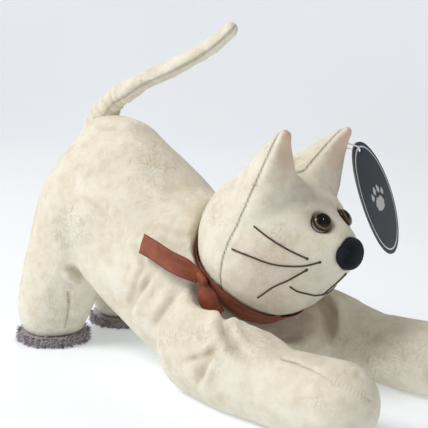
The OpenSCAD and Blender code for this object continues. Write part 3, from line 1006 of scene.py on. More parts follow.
@dataclass
class Torso:
    """The body, the four legs and their stuffing, as one sewn skin."""

    cloth: bpy.types.Material
    clear_of_head: float = 1.6 * MM
    band_low: float = 50 * MM
    pad_top: float = 8.5 * MM
    floor_clear: float = 0.4 * MM
    creases: tuple[Crease, ...] = (
        *both([(26, -70, 12), (26, -40, 1), (26, 20, 12), (26, 80, 45)], 1.6, 3.0, True),
        *both([(43, -39, 59), (57, -52, 58.5), (68, -62.5, 57), (74.7, -73.2, 51.3),
               (76.7, -80.7, 48), (75, -92, 43)], 4.2, 3.4),
        *both([(72, -111.8, 48.2), (73.6, -128.6, 48.6), (77.5, -150.6, 46.7), (73, -165.2, 41.3),
               (62.7, -172.3, 33.7)], 0.5, 1.4, True),
        *both([(81.9, -50.5, 17.9), (85.4, -57.5, 29.4), (84.9, -62, 38.4), (82.7, -65.9, 43.5),
               (80.4, -71.4, 46.1)], 3.6, 2.8),
        *both([(82, -36.9, 30.5), (83.4, -46.1, 35), (83.8, -55.8, 40.1), (82, -61.8, 45),
               (77.9, -66.6, 49.9)], 2.8, 2.5),
        *both([(84.5, -46, 22), (86, -53, 32), (84.7, -60, 41), (80, -68, 48)], 2.0, 2.0),
        *both([(59.7, 36.4, 45.7), (63.1, 27, 60.1), (60.8, 19.4, 69.9), (55, 13.2, 80.3)], 3.4, 3.2),
        *both([(61.3, 37, 51.9), (62.9, 29.4, 65.5), (59.9, 25.4, 76.1), (53.8, 20.5, 86.3)], 2.2, 2.6),
        *both([(61.7, 11.8, 39), (63, 1, 52.5), (58.6, -6.1, 65.3), (52.7, -10, 73.6)], 3.0, 3.2),
        *both([(54.9, 108.8, 48.6), (51.3, 111.8, 36), (50.1, 115.5, 25.2),
               (49.5, 118.7, 16.1)], 1.3, 1.8, True),
        *both([(60, 106, 70), (56.1, 102.7, 67.5), (51.2, 100.1, 62.3), (43.9, 97.7, 57.6)], 4.2, 3.6),
        *both([(61, 112, 62), (55, 108, 57), (47, 104, 52)], 1.5, 2.4),
        *both([(70.4, -156.3, 48.8), (62.8, -155, 51)], 0.6, 1.8),
        *both([(67, -161.9, 46.9), (57.5, -159.5, 48.9)], 0.6, 1.8),
        *both([(71.4, -150, 50), (64.5, -147.6, 52.1)], 0.5, 1.8),
        *both([(50.9, 39, 99.5), (54, 28.5, 90.3), (57.2, 21.1, 80.8)], 2.2, 3.0),
        *both([(37.4, 26.8, 110.7), (37.1, 11.9, 105.2), (34.3, -0.2, 102.9)], 2.4, 3.2),
        *both([(56.3, 76.5, 125.5), (55.7, 66.1, 115.3), (52.5, 53.3, 109)], 1.2, 3.5),
        *both([(20.3, 116.5, 178.6), (19.7, 99.7, 177.2), (13.7, 89, 179.2)], 1.2, 3.5),
    )

    def build(self, frame: Mapping) -> bpy.types.Object:
        """Makes the skin.

        Args:
            frame: what load() returned.
        Returns:
            The piece.
        """
        legs = [f"{end}_leg_{part}_{side}" for end in ("front", "hind")
                for part in ("cover", "filling") for side in ("right", "left")]
        nodes = ("side_panel_right", "side_panel_left", "belly_panel", "body_filling", *legs)
        form = Stuffed("body_skin", nodes, voxel=3.1 * MM, rounds=16, cap=3.5 * MM)
        form.skin(frame)
        form.relax(form.rounds)
        form.inflate()
        form.relax(2)
        form.rumple(0.7 * MM, 60 * MM, 3)
        form.subdivide()
        form.crease(self.creases)
        self.clear(form.object)
        obj = form.object
        obj.data.materials.append(self.cloth)
        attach(obj, Body.TORSO.value)
        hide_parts(*nodes)
        return obj

    def clear(self, obj: bpy.types.Object) -> None:
        """Keeps the skin off the ball of the head, off the floor and over the fur pads.

        Args:
            obj: the skin.
        """
        co = positions(obj.data)
        away = co - HEAD
        far = np.linalg.norm(away, axis=1, keepdims=True)
        limit = HEAD_R + self.clear_of_head
        co = np.where(far < limit, HEAD + away / np.maximum(far, 1e-9) * limit, co)
        away = co - HEAD
        drop = -away @ NECK_DIR
        front = 1 - step(away @ NECK_BACK, -0.004, 0.016)
        inner = 1 - step(np.linalg.norm(away + drop[:, None] * NECK_DIR, axis=1), 0.050, 0.066)
        lack = np.clip(self.band_low - drop, 0, 0.02) * front * inner
        co = co - lack[:, None] * NECK_DIR
        pads = (np.hypot(np.abs(co[:, 0]) - 0.040, co[:, 1] - 0.1438) < 0.036) & (co[:, 2] < 0.03)
        co[:, 2] = np.maximum(co[:, 2], np.where(pads, self.pad_top, self.floor_clear))
        move_to(obj.data, co)


# ======== the head ========


def face_point(a: Points, turn: Points, lift: float = 0.0) -> Points:
    """A place on the face: an angle from the muzzle's line and a turn round it, in degrees.

    Past the tangent angle the face is a ball, before it a cone that narrows to the muzzle:
    distance = R / sin(a + cone) or R.

    Args:
        a: the angle from the muzzle's line.
        turn: the turn round it, 0 on the left side and 90 on top.
        lift: the distance off the cloth.
    Returns:
        The place, or an array of places.
    """
    a, turn = np.radians(np.asarray(a, float)), np.radians(np.asarray(turn, float))
    t = np.where(a + CONE < pi / 2, HEAD_R / np.sin(a + CONE), HEAD_R)
    ring = np.stack([np.cos(turn), 0 * turn, np.sin(turn)], -1)
    b = np.maximum(a, pi / 2 - CONE)[..., None]
    normal = np.cos(b) * AHEAD + np.sin(b) * ring
    way = np.cos(a)[..., None] * AHEAD + np.sin(a)[..., None] * ring
    return HEAD + t[..., None] * way + lift * normal


def face_normal(a: float, turn: float) -> Points:
    """The outward direction at a place on the face.

    Args:
        a: the angle from the muzzle's line, in degrees.
        turn: the turn round it, in degrees.
    Returns:
        The direction.
    """
    b = max(radians(a), pi / 2 - CONE)
    ring = cos(radians(turn)) * ACROSS + sin(radians(turn)) * UP
    return cos(b) * AHEAD + sin(b) * ring


EYE_PLACES = {Side.RIGHT: (27.0, 123.0), Side.LEFT: (27.0, 57.0)}


@dataclass
class Head:
    """The head with its ears, and what is sewn or pressed into the face."""

    cloth: bpy.types.Material
    thread: bpy.types.Material
    flock: bpy.types.Material
    eye: bpy.types.Material
    eye_r: float = 6.75 * MM
    nose_w: float = 12.5 * MM
    thread_r: float = 0.62 * MM
    whiskers: tuple[tuple[tuple[float, float], ...], ...] = (
        ((29, -5), (43, 6), (57, 14), (70, 21)),
        ((21, -11), (31, -14), (42, -12), (55, -8), (70, -2), (85, 2)),
        ((30, -20), (43, -27), (57, -31), (71, -39)),
    )
    lip: tuple[tuple[float, float], ...] = ((35, -90), (36, -76), (38, -58), (42, -46), (45, -36))
    lip_drop: tuple[tuple[float, float], ...] = ((13, -90), (24, -90), (34, -90))

    def build(self, frame: Mapping) -> list[bpy.types.Object]:
        """Makes the head's pieces.

        Args:
            frame: what load() returned.
        Returns:
            The pieces.
        """
        nodes = ("face_panel", "head_back_panel", "head_filling")
        form = Stuffed("head_skin", nodes, voxel=2.6 * MM, rounds=9, cap=1.6 * MM)
        form.skin(frame)
        form.relax(form.rounds)
        form.inflate()
        form.relax(1)
        form.rumple(0.35 * MM, 45 * MM, 8)
        form.subdivide()
        self.shape(form)
        obj = form.object
        obj.data.materials.append(self.cloth)
        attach(obj, Body.HEAD.value)
        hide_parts(*nodes)
        tree = surface_tree(obj)
        pieces = [obj, self.build_nose()]
        pieces += [self.build_eye(side) for side in Side]
        pieces += [self.build_whiskers(tree, side) for side in Side]
        pieces.append(self.build_mouth(tree))
        return pieces

    def shape(self, form: Stuffed) -> None:
        """Sinks the eyes and the ears' fronts, marks the seam over the head, and paints warm shade, with a
        little pink-brown tint, on the ears' fronts and the cheeks.

        Args:
            form: the head's skin.
        """
        mesh = form.object.data
        co, n = positions(mesh), normals(mesh)
        inward = np.zeros(len(co))
        for a, turn in EYE_PLACES.values():
            gap = np.linalg.norm(co - face_point(a, turn), axis=1)
            inward += 1.7 * MM * bell(gap, 8.5 * MM) - 0.6 * MM * bell(gap - 15 * MM, 6 * MM)
        gap = np.linalg.norm(co - NOSE, axis=1)
        inward += 0.8 * MM * bell(gap - 12 * MM, 5 * MM)
        up = co[:, 2] - HEAD[2]
        out = np.abs(co[:, 0])
        ear_line = np.stack([np.interp(up, [0.030, 0.078], [0.0245, 0.037]),
                             np.interp(up, [0.030, 0.078], [-0.0748, -0.08283]), co[:, 2]], 1)
        off = np.hypot(out - ear_line[:, 0], (co[:, 1] - ear_line[:, 1]) * 0.4)
        front = step(-n[:, 1], 0.2, 0.7)
        inner = front * step(up, 0.036, 0.052) * bell(off, 11 * MM) * (1 - step(up, 0.066, 0.08))
        inward += 3.0 * MM * inner
        move_to(mesh, co - n * inward[:, None])
        form.crease(self.folds())
        co = positions(mesh)
        seam = np.abs((co - HEAD) @ SEAM_NORMAL) / MM
        groove = bell(seam, 1.6)
        move_to(mesh, co - normals(mesh) * (0.9 * MM * groove)[:, None])
        put_attribute(form.object, "seam", seam)
        around = np.arctan2(co[:, 0], co[:, 2] - HEAD[2]) * HEAD_R / MM
        put_attribute(form.object, "along", np.where(up > 0.045, up / MM, around))
        # Painted warm shade in the hollows of the ears' fronts and on the cheeks, with a little pink-brown
        # tint.
        ears = front * step(up, 0.045, 0.062) * bell(off, 15 * MM)
        cheek = bell(np.linalg.norm(co - face_point(62, 188), axis=1), 17 * MM)
        cheek += bell(np.linalg.norm(co - face_point(62, -8), axis=1), 17 * MM)
        put_attribute(form.object, "blush", np.clip(0.75 * ears + 0.35 * cheek, 0, 1))

    def folds(self) -> list[Crease]:
        """The creases at the roots of the ears.

        Returns:
            The creases.
        """
        folds = []
        for side in Side:
            x = side.value
            folds.append(Crease([(x * 12, -84, 146), (x * 24, -90, 139), (x * 38, -84, 136)], 1.6, 3.2))
        return folds

    def build_eye(self, side: Side) -> bpy.types.Object:
        """A domed button: r(t) = R sin t, height(t) = 0.62 R cos t - 0.6 mm, with a rim turned in.

        Args:
            side: the side that it is on.
        Returns:
            The piece.
        """
        a, turn = EYE_PLACES[side]
        t = np.concatenate([np.linspace(0.02, pi / 2, 22), np.linspace(pi / 2 + 0.15, pi - 0.3, 6)])
        radius, height = self.eye_r * np.sin(t), 0.62 * self.eye_r * np.cos(t) - 0.6 * MM
        z = face_normal(a, turn)
        x = unit(np.cross(z, UP))
        y = np.cross(z, x)
        points = (face_point(a, turn) + height[:, None, None] * z
                  + radius[:, None, None] * round_ring(48, x, y))
        radial = np.where(t < pi / 2, np.sin(t), 1.05)
        obj = grid_object(f"eye_dome_{side.name.lower()}", points, True, True, {"radial": radial[:, None]})
        self.finish(obj, self.eye, "eye_plastic", f"eye_{side.name.lower()}")
        return obj

    def build_nose(self) -> bpy.types.Object:
        """A flocked oval: a half ellipsoid whose height is (1 - s^2.6)^(1 / 2.2), with a soft rim.

        Returns:
            The piece.
        """
        t = np.linspace(0.02, 1.0, 26)
        height = 0.6 * self.nose_w * np.maximum(0, 1 - t ** 2.6) ** (1 / 2.2)
        radius = np.concatenate([t, [0.98, 0.9, 0.7]])
        height = np.concatenate([height, [-1.4 * MM, -2.2 * MM, -2.6 * MM]])
        oval = self.nose_w * round_ring(56, ACROSS, 0.9 * UP)
        points = NOSE + radius[:, None, None] * oval + height[:, None, None] * AHEAD
        obj = grid_object("nose_dome", points, True, True)
        self.finish(obj, self.flock, "nose_flock", "nose")
        return obj

    def stitch(self, name: str, tree: BVHTree, places: Sequence[Sequence[float]],
               side: Side) -> bpy.types.Object:
        """A thread that lies on the cloth, with a knot at its first end.

        Args:
            name: the piece's name.
            tree: finds the nearest place on the cloth.
            places: angles from the muzzle's line and turns round it, in degrees, on the left side.
            side: the side it is for.
        Returns:
            The object.
        """
        p = np.asarray(places, float)
        turn = p[:, 1] if side is Side.LEFT else 180 - p[:, 1]
        rough = smooth_path(face_point(p[:, 0], turn), 60)
        found = [tree.find_nearest(Vector(q)) for q in rough]
        path = np.array([f[0] for f in found])
        n = unit(np.array([f[1] for f in found]))
        path = path + n * self.thread_r * 0.55
        path[0] -= n[0] * 2.5 * self.thread_r
        path[-1] -= n[-1] * 2.5 * self.thread_r
        steps = np.linalg.norm(np.diff(path, axis=0), axis=1)
        length = np.concatenate([[0], np.cumsum(steps)])
        swell = 1 + 0.75 * bell(length - 1.4 * MM, 1.1 * MM)
        return tube(name, path, self.thread_r * swell, n, 10)

    def build_whiskers(self, tree: BVHTree, side: Side) -> bpy.types.Object:
        """The three whisker lines of one side, as one piece.

        Args:
            tree: finds the nearest place on the cloth.
            side: the side that they are on.
        Returns:
            The piece.
        """
        lines = [self.stitch("whisker", tree, w, side) for w in self.whiskers]
        obj = joined(f"whisker_threads_{side.name.lower()}", lines)
        self.finish(obj, self.thread, "dark_thread", f"whiskers_{side.name.lower()}")
        return obj

    def build_mouth(self, tree: BVHTree) -> bpy.types.Object:
        """The line under the nose and the two lips, as one piece.

        Args:
            tree: finds the nearest place on the cloth.
        Returns:
            The piece.
        """
        lines = [self.stitch("drop", tree, self.lip_drop, Side.LEFT)]
        lines += [self.stitch("lip", tree, self.lip, side) for side in Side]
        obj = joined("mouth_thread", lines)
        self.finish(obj, self.thread, "dark_thread", "mouth_stitch")
        return obj

    @staticmethod
    def finish(obj: bpy.types.Object, material: bpy.types.Material, slot: str, *nodes: str) -> None:
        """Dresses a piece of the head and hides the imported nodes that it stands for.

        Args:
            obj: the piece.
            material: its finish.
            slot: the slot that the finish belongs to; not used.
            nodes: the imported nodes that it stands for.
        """
        obj.data.materials.append(material)
        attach(obj, Body.HEAD.value)
        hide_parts(*nodes)


def joined(name: str, objects: Sequence[bpy.types.Object]) -> bpy.types.Object:
    """One object from several that carry the same attributes along and turn.

    Args:
        name: the new piece's name.
        objects: the pieces, which are used up.
    Returns:
        The object.
    """
    points, faces, along, turn, count = [], [], [], [], 0
    for obj in objects:
        mesh = obj.data
        points.append(positions(mesh))
        faces += [f + count for f in face_corners(mesh)]
        for key, store in (("along", along), ("turn", turn)):
            numbers = np.zeros(len(mesh.vertices), np.float32)
            mesh.attributes[key].data.foreach_get("value", numbers)
            store.append(numbers)
        count += len(mesh.vertices)
        bpy.data.objects.remove(obj)
    obj = new_object(name, np.concatenate(points), faces)
    put_attribute(obj, "along", np.concatenate(along))
    put_attribute(obj, "turn", np.concatenate(turn))
    return obj


# ======== the tail ========


@dataclass
class Tail:
    """The tail's cloth: a base at the rump, and the rest, which starts at the crease."""

    cloth: bpy.types.Material
    low_rise: float = 25
    top_rise: float = 23
    curl: float = 8
    top_len: float = 101 * MM
    root_r: float = 8 * MM
    crease_r: float = 7 * MM
    tip_r: float = 5.5 * MM
    seam_turn: float = pi / 2 + 0.85

    def top_path(self) -> Points:
        """The upper part's line: five steps whose rise is rise - curl / 2 + 2 curl s^3.

        Returns:
            The line, 6 by 3.
        """
        s = np.arange(1, 6) / 5
        rise = np.radians(self.top_rise - self.curl / 2 + 2 * self.curl * s ** 3)
        steps = self.top_len / 5 * np.stack([0 * s, -np.cos(rise), np.sin(rise)], -1)
        return np.concatenate([[TAIL_CREASE], TAIL_CREASE + np.cumsum(steps, 0)])

    def build(self) -> list[bpy.types.Object]:
        """Makes the two pieces of cloth.

        Returns:
            The pieces.
        """
        low = np.array((0.0, -cos(radians(self.low_rise)), sin(radians(self.low_rise))))
        middle = TAIL_ROOT + 24 * MM * low
        line = np.array([TAIL_ROOT + (0, 0.010, -0.022), TAIL_ROOT + (0, 0.002, -0.008),
                         TAIL_ROOT + 12 * MM * low, middle, middle + 8 * MM * low])
        base = self.sleeve("tail_base_skin", line, np.array([13.5, 11.0, 8.6, 8.2, 7.0]) * MM, 70, rings=7)
        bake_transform(base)
        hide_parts("tail_low_cover", "tail_low_filling")
        top = self.top_path()
        path = np.concatenate([[middle - 2 * MM * low, middle + 10 * MM * low], top])
        radii = np.append([self.root_r] * 2, np.linspace(self.crease_r, self.tip_r, 6))
        upper = self.sleeve("tail_top_skin", path, radii, 150, rings=0)
        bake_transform(upper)
        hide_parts("tail_top_cover", "tail_top_filling")
        for obj in (base, upper):
            obj.data.materials.append(self.cloth)
        return [base, upper]

    def sleeve(self, name: str, knots: Points, radii: Points, count: int, rings: int) -> bpy.types.Object:
        """A tube through knots, round at its end, with gathered rings and a seam along it.

        Args:
            name: the piece's name.
            knots: the line.
            radii: the radius at each knot.
            count: rows of points.
            rings: gathered rings over its length.
        Returns:
            The object.
        """
        sides = 40
        path = smooth_path(knots, count)
        r = smooth_path(np.stack([radii, 0 * radii, 0 * radii], 1), count)[:, 0]
        s = np.concatenate([[0], np.cumsum(np.linalg.norm(np.diff(path, axis=0), axis=1))])
        cap = np.sqrt(np.clip(1 - (1 - np.clip((s[-1] - s) / r[-1], 0, 1)) ** 2, 0.02, 1))
        a = np.linspace(0, 2 * pi, sides, endpoint=False)
        turn = a[None, :] + 0 * s[:, None]
        unrolled = np.stack([s[:, None] + 0 * turn, r[:, None] * np.cos(turn), r[:, None] * np.sin(turn)], -1)
        uneven = slow_noise(unrolled.reshape(-1, 3), 16 * MM, len(name)).reshape(turn.shape)
        phase = 2 * pi * rings * s[:, None] / s[-1]
        ring = np.sin(phase + 1.3 * np.sin(turn) + 0.6 * uneven) if rings else 0
        wrapped = np.abs((turn - self.seam_turn + pi) % (2 * pi) - pi) * r[:, None] / MM
        radius = ((r * cap)[:, None] + 0.55 * MM * ring + 0.28 * MM * uneven
                  - 0.55 * MM * bell(wrapped, 1.1))
        # The attribute crease paints shade in the hollows of the gathered rings.
        return tube(name, path, radius, self.upward(path), sides,
                    {"seam": wrapped, "crease": np.clip(-ring * 0.6, 0, 1) + 0 * turn, "blush": 0 * turn})

    @staticmethod
    def upward(path: Points) -> Points:
        """The direction across the path in the cat's middle plane, pointing up and back."""
        forward = unit(np.gradient(path, axis=0))
        return np.cross(forward, -ACROSS)


# ======== the ribbon ========


@dataclass
class Ribbon:
    """The satin ribbon: its band, its knot and its two ends."""

    satin: bpy.types.Material
    width: float = 14 * MM
    thick: float = 0.5 * MM
    long_cut: float = 48 * MM
    short_cut: float = 28 * MM
    long_line: tuple[tuple[float, float, float], ...] = (
        (-1.5, 1.5, 2), (-8.5, 9, 8), (-12.5, 20, 12.5), (-13.6, 33, 17.5), (-13, 47, 21))
    tree: BVHTree | None = field(default=None, init=False, repr=False)

    def build(self, body: bpy.types.Object) -> list[bpy.types.Object]:
        """Makes the ribbon's pieces.

        Args:
            body: the skin that the ends lie on.
        Returns:
            The pieces.
        """
        self.tree = surface_tree(body)
        band, length = self.build_band()
        knot = self.build_knot()
        long_end = self.build_long()
        short_end = self.build_short()
        self.declare(band, "neck_ribbon")
        self.declare(long_end, "ribbon_end_long")
        self.declare(short_end, "ribbon_end_short")
        knot.data.materials.append(self.satin)
        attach(knot, Body.TORSO.value)
        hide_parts("ribbon_knot")
        return [band, knot, long_end, short_end]

    def declare(self, obj: bpy.types.Object, node: str) -> None:
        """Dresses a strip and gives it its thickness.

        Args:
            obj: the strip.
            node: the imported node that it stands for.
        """
        obj.data.materials.append(self.satin)
        solid = obj.modifiers.new("thickness", "SOLIDIFY")
        solid.thickness = self.thick
        solid.offset = 0
        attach(obj, Body.TORSO.value)
        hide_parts(node)

    def ball_point(self, turn: Points, drop: Points, lift: Points) -> Points:
        """A place over the ball of the head.

        Args:
            turn: round the neck, in degrees.
            drop: below the middle of the head, along the neck.
            lift: off the ball.
        Returns:
            The points.
        """
        a = np.radians(turn)
        r = np.sqrt((HEAD_R + BAND_GAP + lift) ** 2 - drop ** 2)
        ring = np.stack([-np.cos(a), 0 * a, 0 * a], -1) + np.sin(a)[..., None] * NECK_BACK
        return HEAD - drop[..., None] * NECK_DIR + r[..., None] * ring

    def build_band(self) -> tuple[bpy.types.Object, float]:
        """The band: a strip on the ball of the head with shallow folds along it, whose lower edge
        stands off the ball under the chin.

        Returns:
            The object and its length at the middle, in metres.
        """
        turn, across = np.meshgrid(np.linspace(0, 360, 241), np.linspace(-1, 1, 15), indexing="ij")
        wave = np.sin(np.radians(turn) * 5) * 0.5 + np.sin(np.radians(turn) * 11 + 1) * 0.3
        drop = NECK_LEN + across * 6.2 * MM + 0.4 * MM * wave
        lift = 0.55 * MM + 0.22 * MM * np.cos(across * 7 + wave) - 0.25 * MM * across ** 2
        stand = np.clip(across + 0.2, 0, None) ** 1.3 * (1 - np.sin(np.radians(turn))) / 2
        points = self.ball_point(turn, drop + 4.6 * MM * stand, lift + 3.6 * MM * stand)
        middle = points[:, points.shape[1] // 2]
        length = float(np.linalg.norm(np.diff(middle, axis=0), axis=1).sum())
        obj = grid_object("ribbon_band", points,
                          attributes={"across": across, "along": np.radians(turn) * 41})
        return obj, length

    def build_long(self) -> bpy.types.Object:
        """The long end: a strip back over the shoulder, that curls a little at its edges.

        Returns:
            The piece.
        """
        path = smooth_path(np.asarray(self.long_line) * MM + KNOT, 60)
        v = np.linspace(-1, 1, 15)
        s = np.linspace(0, 1, 60)
        wide = unit(np.array((0.25, -0.25, 0.9)))
        forward = unit(np.gradient(path, axis=0))
        n = unit(np.cross(forward, wide))
        gather = 0.72 + 0.28 * step(s, 0.0, 0.3)
        curl = (0.8 * MM * np.sin(s * 7)[:, None] * v[None]
                + 0.7 * MM * np.cos(v * 4)[None] * np.sin(s * 3 + 0.5)[:, None])
        slant = 1.5 * MM * v[None] * step(s, 0.8, 1.0)[:, None]
        points = (path[:, None] + (self.width / 2 * gather[:, None] * v[None])[..., None] * wide
                  + curl[..., None] * n[:, None] + slant[..., None] * forward[:, None])
        points = laid_on(self.tree, points, 0.9 * MM)
        along = (s * 46)[:, None]
        return grid_object("ribbon_tail_long", points, attributes={"across": v[None, :], "along": along})

    def build_short(self) -> bpy.types.Object:
        """The short end: a strip that falls from the knot over the top of the leg, cut at a slant.

        Returns:
            The piece.
        """
        s, v = np.meshgrid(np.linspace(0, 1, 46), np.linspace(-1, 1, 15), indexing="ij")
        fall = unit(np.array((0.22, -0.34, -0.915)))
        outward = np.array((-0.77, -0.62, 0.15))
        wide = unit(np.cross(fall, outward))
        gather = 0.5 + 0.5 * step(s, 0.0, 0.4)
        reach = 26 * MM * s + 2.5 * MM * v * step(s, 0.8, 1.0)
        ripple = 0.5 * np.sin(6 * s + v * 1.5) + 0.6 * np.cos(v * 3) * np.sin(3 * s)
        lift = (2.6 * np.sin(s * 2.4) + ripple) * MM
        points = (KNOT + (-0.0025, -0.002, -0.002) + reach[..., None] * fall
                  + (self.width / 2 * gather * v)[..., None] * wide + lift[..., None] * outward)
        return grid_object("ribbon_tail_short", laid_on(self.tree, points, 0.9 * MM),
                           attributes={"across": v, "along": s * 27})

    def build_knot(self) -> bpy.types.Object:
        """The knot: an oval cushion with folds that run across it: r = R (1 - 0.12 sin(folds)).

        Returns:
            The piece.
        """
        t, a = np.meshgrid(np.linspace(0.05, pi - 0.05, 40),
                           np.linspace(0, 2 * pi, 56, endpoint=False), indexing="ij")
        turn = radians(8)
        out = -cos(turn) * ACROSS + sin(turn) * NECK_BACK
        slope = asin(NECK_LEN / (HEAD_R + BAND_GAP))
        outward = unit(cos(slope) * out - sin(slope) * NECK_DIR)
        around = unit(np.cross(NECK_DIR, out))
        down = np.cross(outward, around)
        x, y, z = np.sin(t) * np.cos(a), np.sin(t) * np.sin(a), np.cos(t)
        square = (np.abs(x) ** 2.6 + np.abs(y) ** 2.6 + np.abs(z) ** 2.6) ** (-1 / 2.6)
        fold = 1 + 0.075 * np.sin(9 * y + 2.5 * z) * (0.4 + np.abs(x)) + 0.05 * np.sin(5 * z - 2 * y)
        size = square * fold
        points = (KNOT + (2.9 * MM * size * x)[..., None] * outward
                  + (5.6 * MM * size * y)[..., None] * around + (5.9 * MM * size * z)[..., None] * down)
        return grid_object("ribbon_knot_folds", points, True, True, {"across": y * 0.8, "along": z * 6})


# ======== fur pads ========


@dataclass
class FurPads:
    """The fur soles of the hind feet: a pad and the ragged tufts round it."""

    fur: bpy.types.Material
    radius: float = 29 * MM
    height: float = 8.4 * MM
    tufts: int = 900

    def build(self) -> list[bpy.types.Object]:
        """Makes the two pads.

        Returns:
            The pieces.
        """
        return [self.build_pad(side) for side in Side]

    def build_pad(self, side: Side) -> bpy.types.Object:
        """A pad whose profile bulges, r(t) = R (0.9 + 0.1 sin), and tufts of five-point leaves.

        Args:
            side: the side that it is on.
        Returns:
            The piece.
        """
        centre = np.array((side.value * PAD_X, PAD_Y, 0.0))
        z = np.linspace(0, 1, 9)
        profile = self.radius * (0.92 + 0.08 * np.sin(pi * z))
        radius = np.concatenate([[0.4 * self.radius], profile, [0.4 * self.radius]])
        height = np.concatenate([[0.02], 0.02 + 0.96 * z, [1.0]]) * self.height
        points = centre + radius[:, None, None] * round_ring(90, ACROSS, -AHEAD) + height[:, None, None] * UP
        pad = grid_object("pad", points, True, True)
        return self.with_tufts(pad, side, centre)

    def with_tufts(self, pad: bpy.types.Object, side: Side, centre: Points) -> bpy.types.Object:
        """Adds the tufts: each is a curved leaf of two quads and a tip, four-sided at its root.

        Args:
            pad: the bare pad, which is used up.
            side: the side that it is on.
            centre: the middle of its sole.
        Returns:
            The piece.
        """
        rng = np.random.default_rng(40 + side.value)
        count = self.tufts
        angle = rng.uniform(0, 2 * pi, count)
        low = rng.uniform(0.05, 0.98, count)
        out = np.stack([np.cos(angle), np.sin(angle), 0 * angle], -1)
        root = centre + 0.97 * self.radius * out + (low * self.height)[:, None] * UP
        aside = np.stack([-np.sin(angle), np.cos(angle), 0 * angle], -1)
        rise = rng.uniform(-0.9, 0.9, count) + (low - 0.4) * 1.2
        way = unit(out + 0.35 * rng.normal(size=(count, 1)) * aside + rise[:, None] * UP)
        length = rng.uniform(2.2, 4.6, count)[:, None] * MM
        wide = rng.uniform(0.5, 1.1, count)[:, None] * MM
        up = unit(np.cross(way, aside))
        bend = rng.uniform(-0.35, 0.35, count)[:, None] * length
        rings = []
        for share, thick in ((-0.1, 1.0), (0.45, 0.7)):
            middle = root + way * length * share + up * bend * share ** 2
            rings += [middle + aside * wide * thick, middle + up * wide * thick * 0.5,
                      middle - aside * wide * thick, middle - up * wide * thick * 0.5]
        rings.append(root + way * length + up * bend)
        points = np.stack(rings, 1)
        points[..., 2] = np.maximum(points[..., 2], FLOOR_GAP)
        base = 9 * np.arange(count)[:, None, None]
        quads = base + np.array([[k, (k + 1) % 4, 4 + (k + 1) % 4, 4 + k] for k in range(4)] + [[3, 2, 1, 0]])
        tips = base + np.array([[4 + k, 4 + (k + 1) % 4, 8] for k in range(4)])
        shades = np.tile([0.1] * 4 + [0.55] * 4 + [1.0], count)
        start = len(pad.data.vertices)
        old = positions(pad.data)
        faces = [*face_corners(pad.data), quads.reshape(-1, 4) + start, tips.reshape(-1, 3) + start]
        bpy.data.objects.remove(pad)
        obj = new_object(f"pad_fur_{side.name.lower()}", np.concatenate([old, points.reshape(-1, 3)]), faces)
        put_attribute(obj, "tip", np.concatenate([np.zeros(start), shades]))
        obj.data.materials.append(self.fur)
        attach(obj, Body.TORSO.value)
        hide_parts(f"hind_pad_{side.name.lower()}")
        return obj


# ======== the hang tag ========


@dataclass
class HangTag:
    """The oval card on its plastic loop."""

    card: bpy.types.Material
    length: float = 88 * MM
    width: float = 43 * MM
    thick: float = 0.55 * MM
    lean: float = 18
    tilt: float = 14
    top: float = 5 * MM
    hole_r: float = 2.4 * MM

    def build(self) -> list[bpy.types.Object]:
        """Makes the folded card as two leaves.

        Returns:
            The pieces.
        """
        front = self.leaf("card_front", 0.35 * MM, 0.0)
        back = self.leaf("card_back", -0.35 * MM, 0.6 * MM)
        front.data.materials.append(self.card)
        back.data.materials.append(self.card)
        for obj in (front, back):
            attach(obj, Body.CARD.value)
        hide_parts("hang_tag")
        return [front, back]

    def leaf(self, name: str, lift: float, open_by: float) -> bpy.types.Object:
        """One leaf: a grid round the hole, point(q, a) = (1 - q) hole rim(a) + q oval(a), on both
        faces and closed as a ring, bowed by b (1 - (2 y / L)^2) along its length.

        Args:
            name: the piece's name.
            lift: its place across the card's thickness.
            open_by: how far its foot stands off.
        Returns:
            The object.
        """
        a = np.linspace(0, 2 * pi, 120, endpoint=False)
        q = np.append(np.linspace(0, 0.994, 40), 1.0)[:, None]
        middle = self.length / 2 - self.top
        x = self.hole_r * np.cos(a) * (1 - q) + self.width / 2 * np.cos(a) * q
        y = self.hole_r * np.sin(a) * (1 - q) + (self.length / 2 * np.sin(a) - middle) * q
        along = (y - self.top) / self.length
        bow = 2.4 * MM * (1 - (2 * along + 1) ** 2) - 0.8 * MM * (2 * x / self.width) ** 2
        height = bow + lift - open_by * along
        radial = np.hypot(2 * x / self.width, 2 * (y + middle) / self.length)
        motif = self.emblem(x, y + middle) if lift > 0 else 0 * x
        half = self.thick / 2
        points = np.concatenate([np.stack([x, y, height + half], -1),
                                 np.stack([x, y, height - half], -1)[::-1]])
        cut = (q > 0.999) + 0.0 * x
        return grid_object(name, self.place(points), True, False, {
            "radial": np.concatenate([radial, radial[::-1]]), "cut": np.concatenate([cut, cut[::-1]]),
            "motif": np.concatenate([motif, 0 * motif])}, ring=True)

    @staticmethod
    def emblem(x: Points, y: Points) -> Points:
        """A plain paw shape: 1 inside a pad and four toes, 0 outside.

        Args:
            x: across the card, from its middle.
            y: up the card, from its middle.
        Returns:
            An array of the same shape.
        """
        inside = np.hypot(x / 6.0, (y + 0.004) / 5.0) < MM
        for toe_x, toe_y in ((-7.0, 3.0), (-2.6, 6.5), (2.6, 6.5), (7.0, 3.0)):
            inside |= np.hypot((x - toe_x * MM) / 1.9, (y - toe_y * MM) / 2.5) < MM
        return inside.astype(float)

    def place(self, points: Points) -> Points:
        """Turns the card's own frame, X across, Y up it and Z out of it, to its place on the loop."""
        turn = Matrix.Rotation(radians(90 - self.tilt), 3, "X") @ Matrix.Rotation(radians(self.lean), 3, "Z")
        return points @ np.array(turn).T + CARD_HOLE


# ======== the room ========


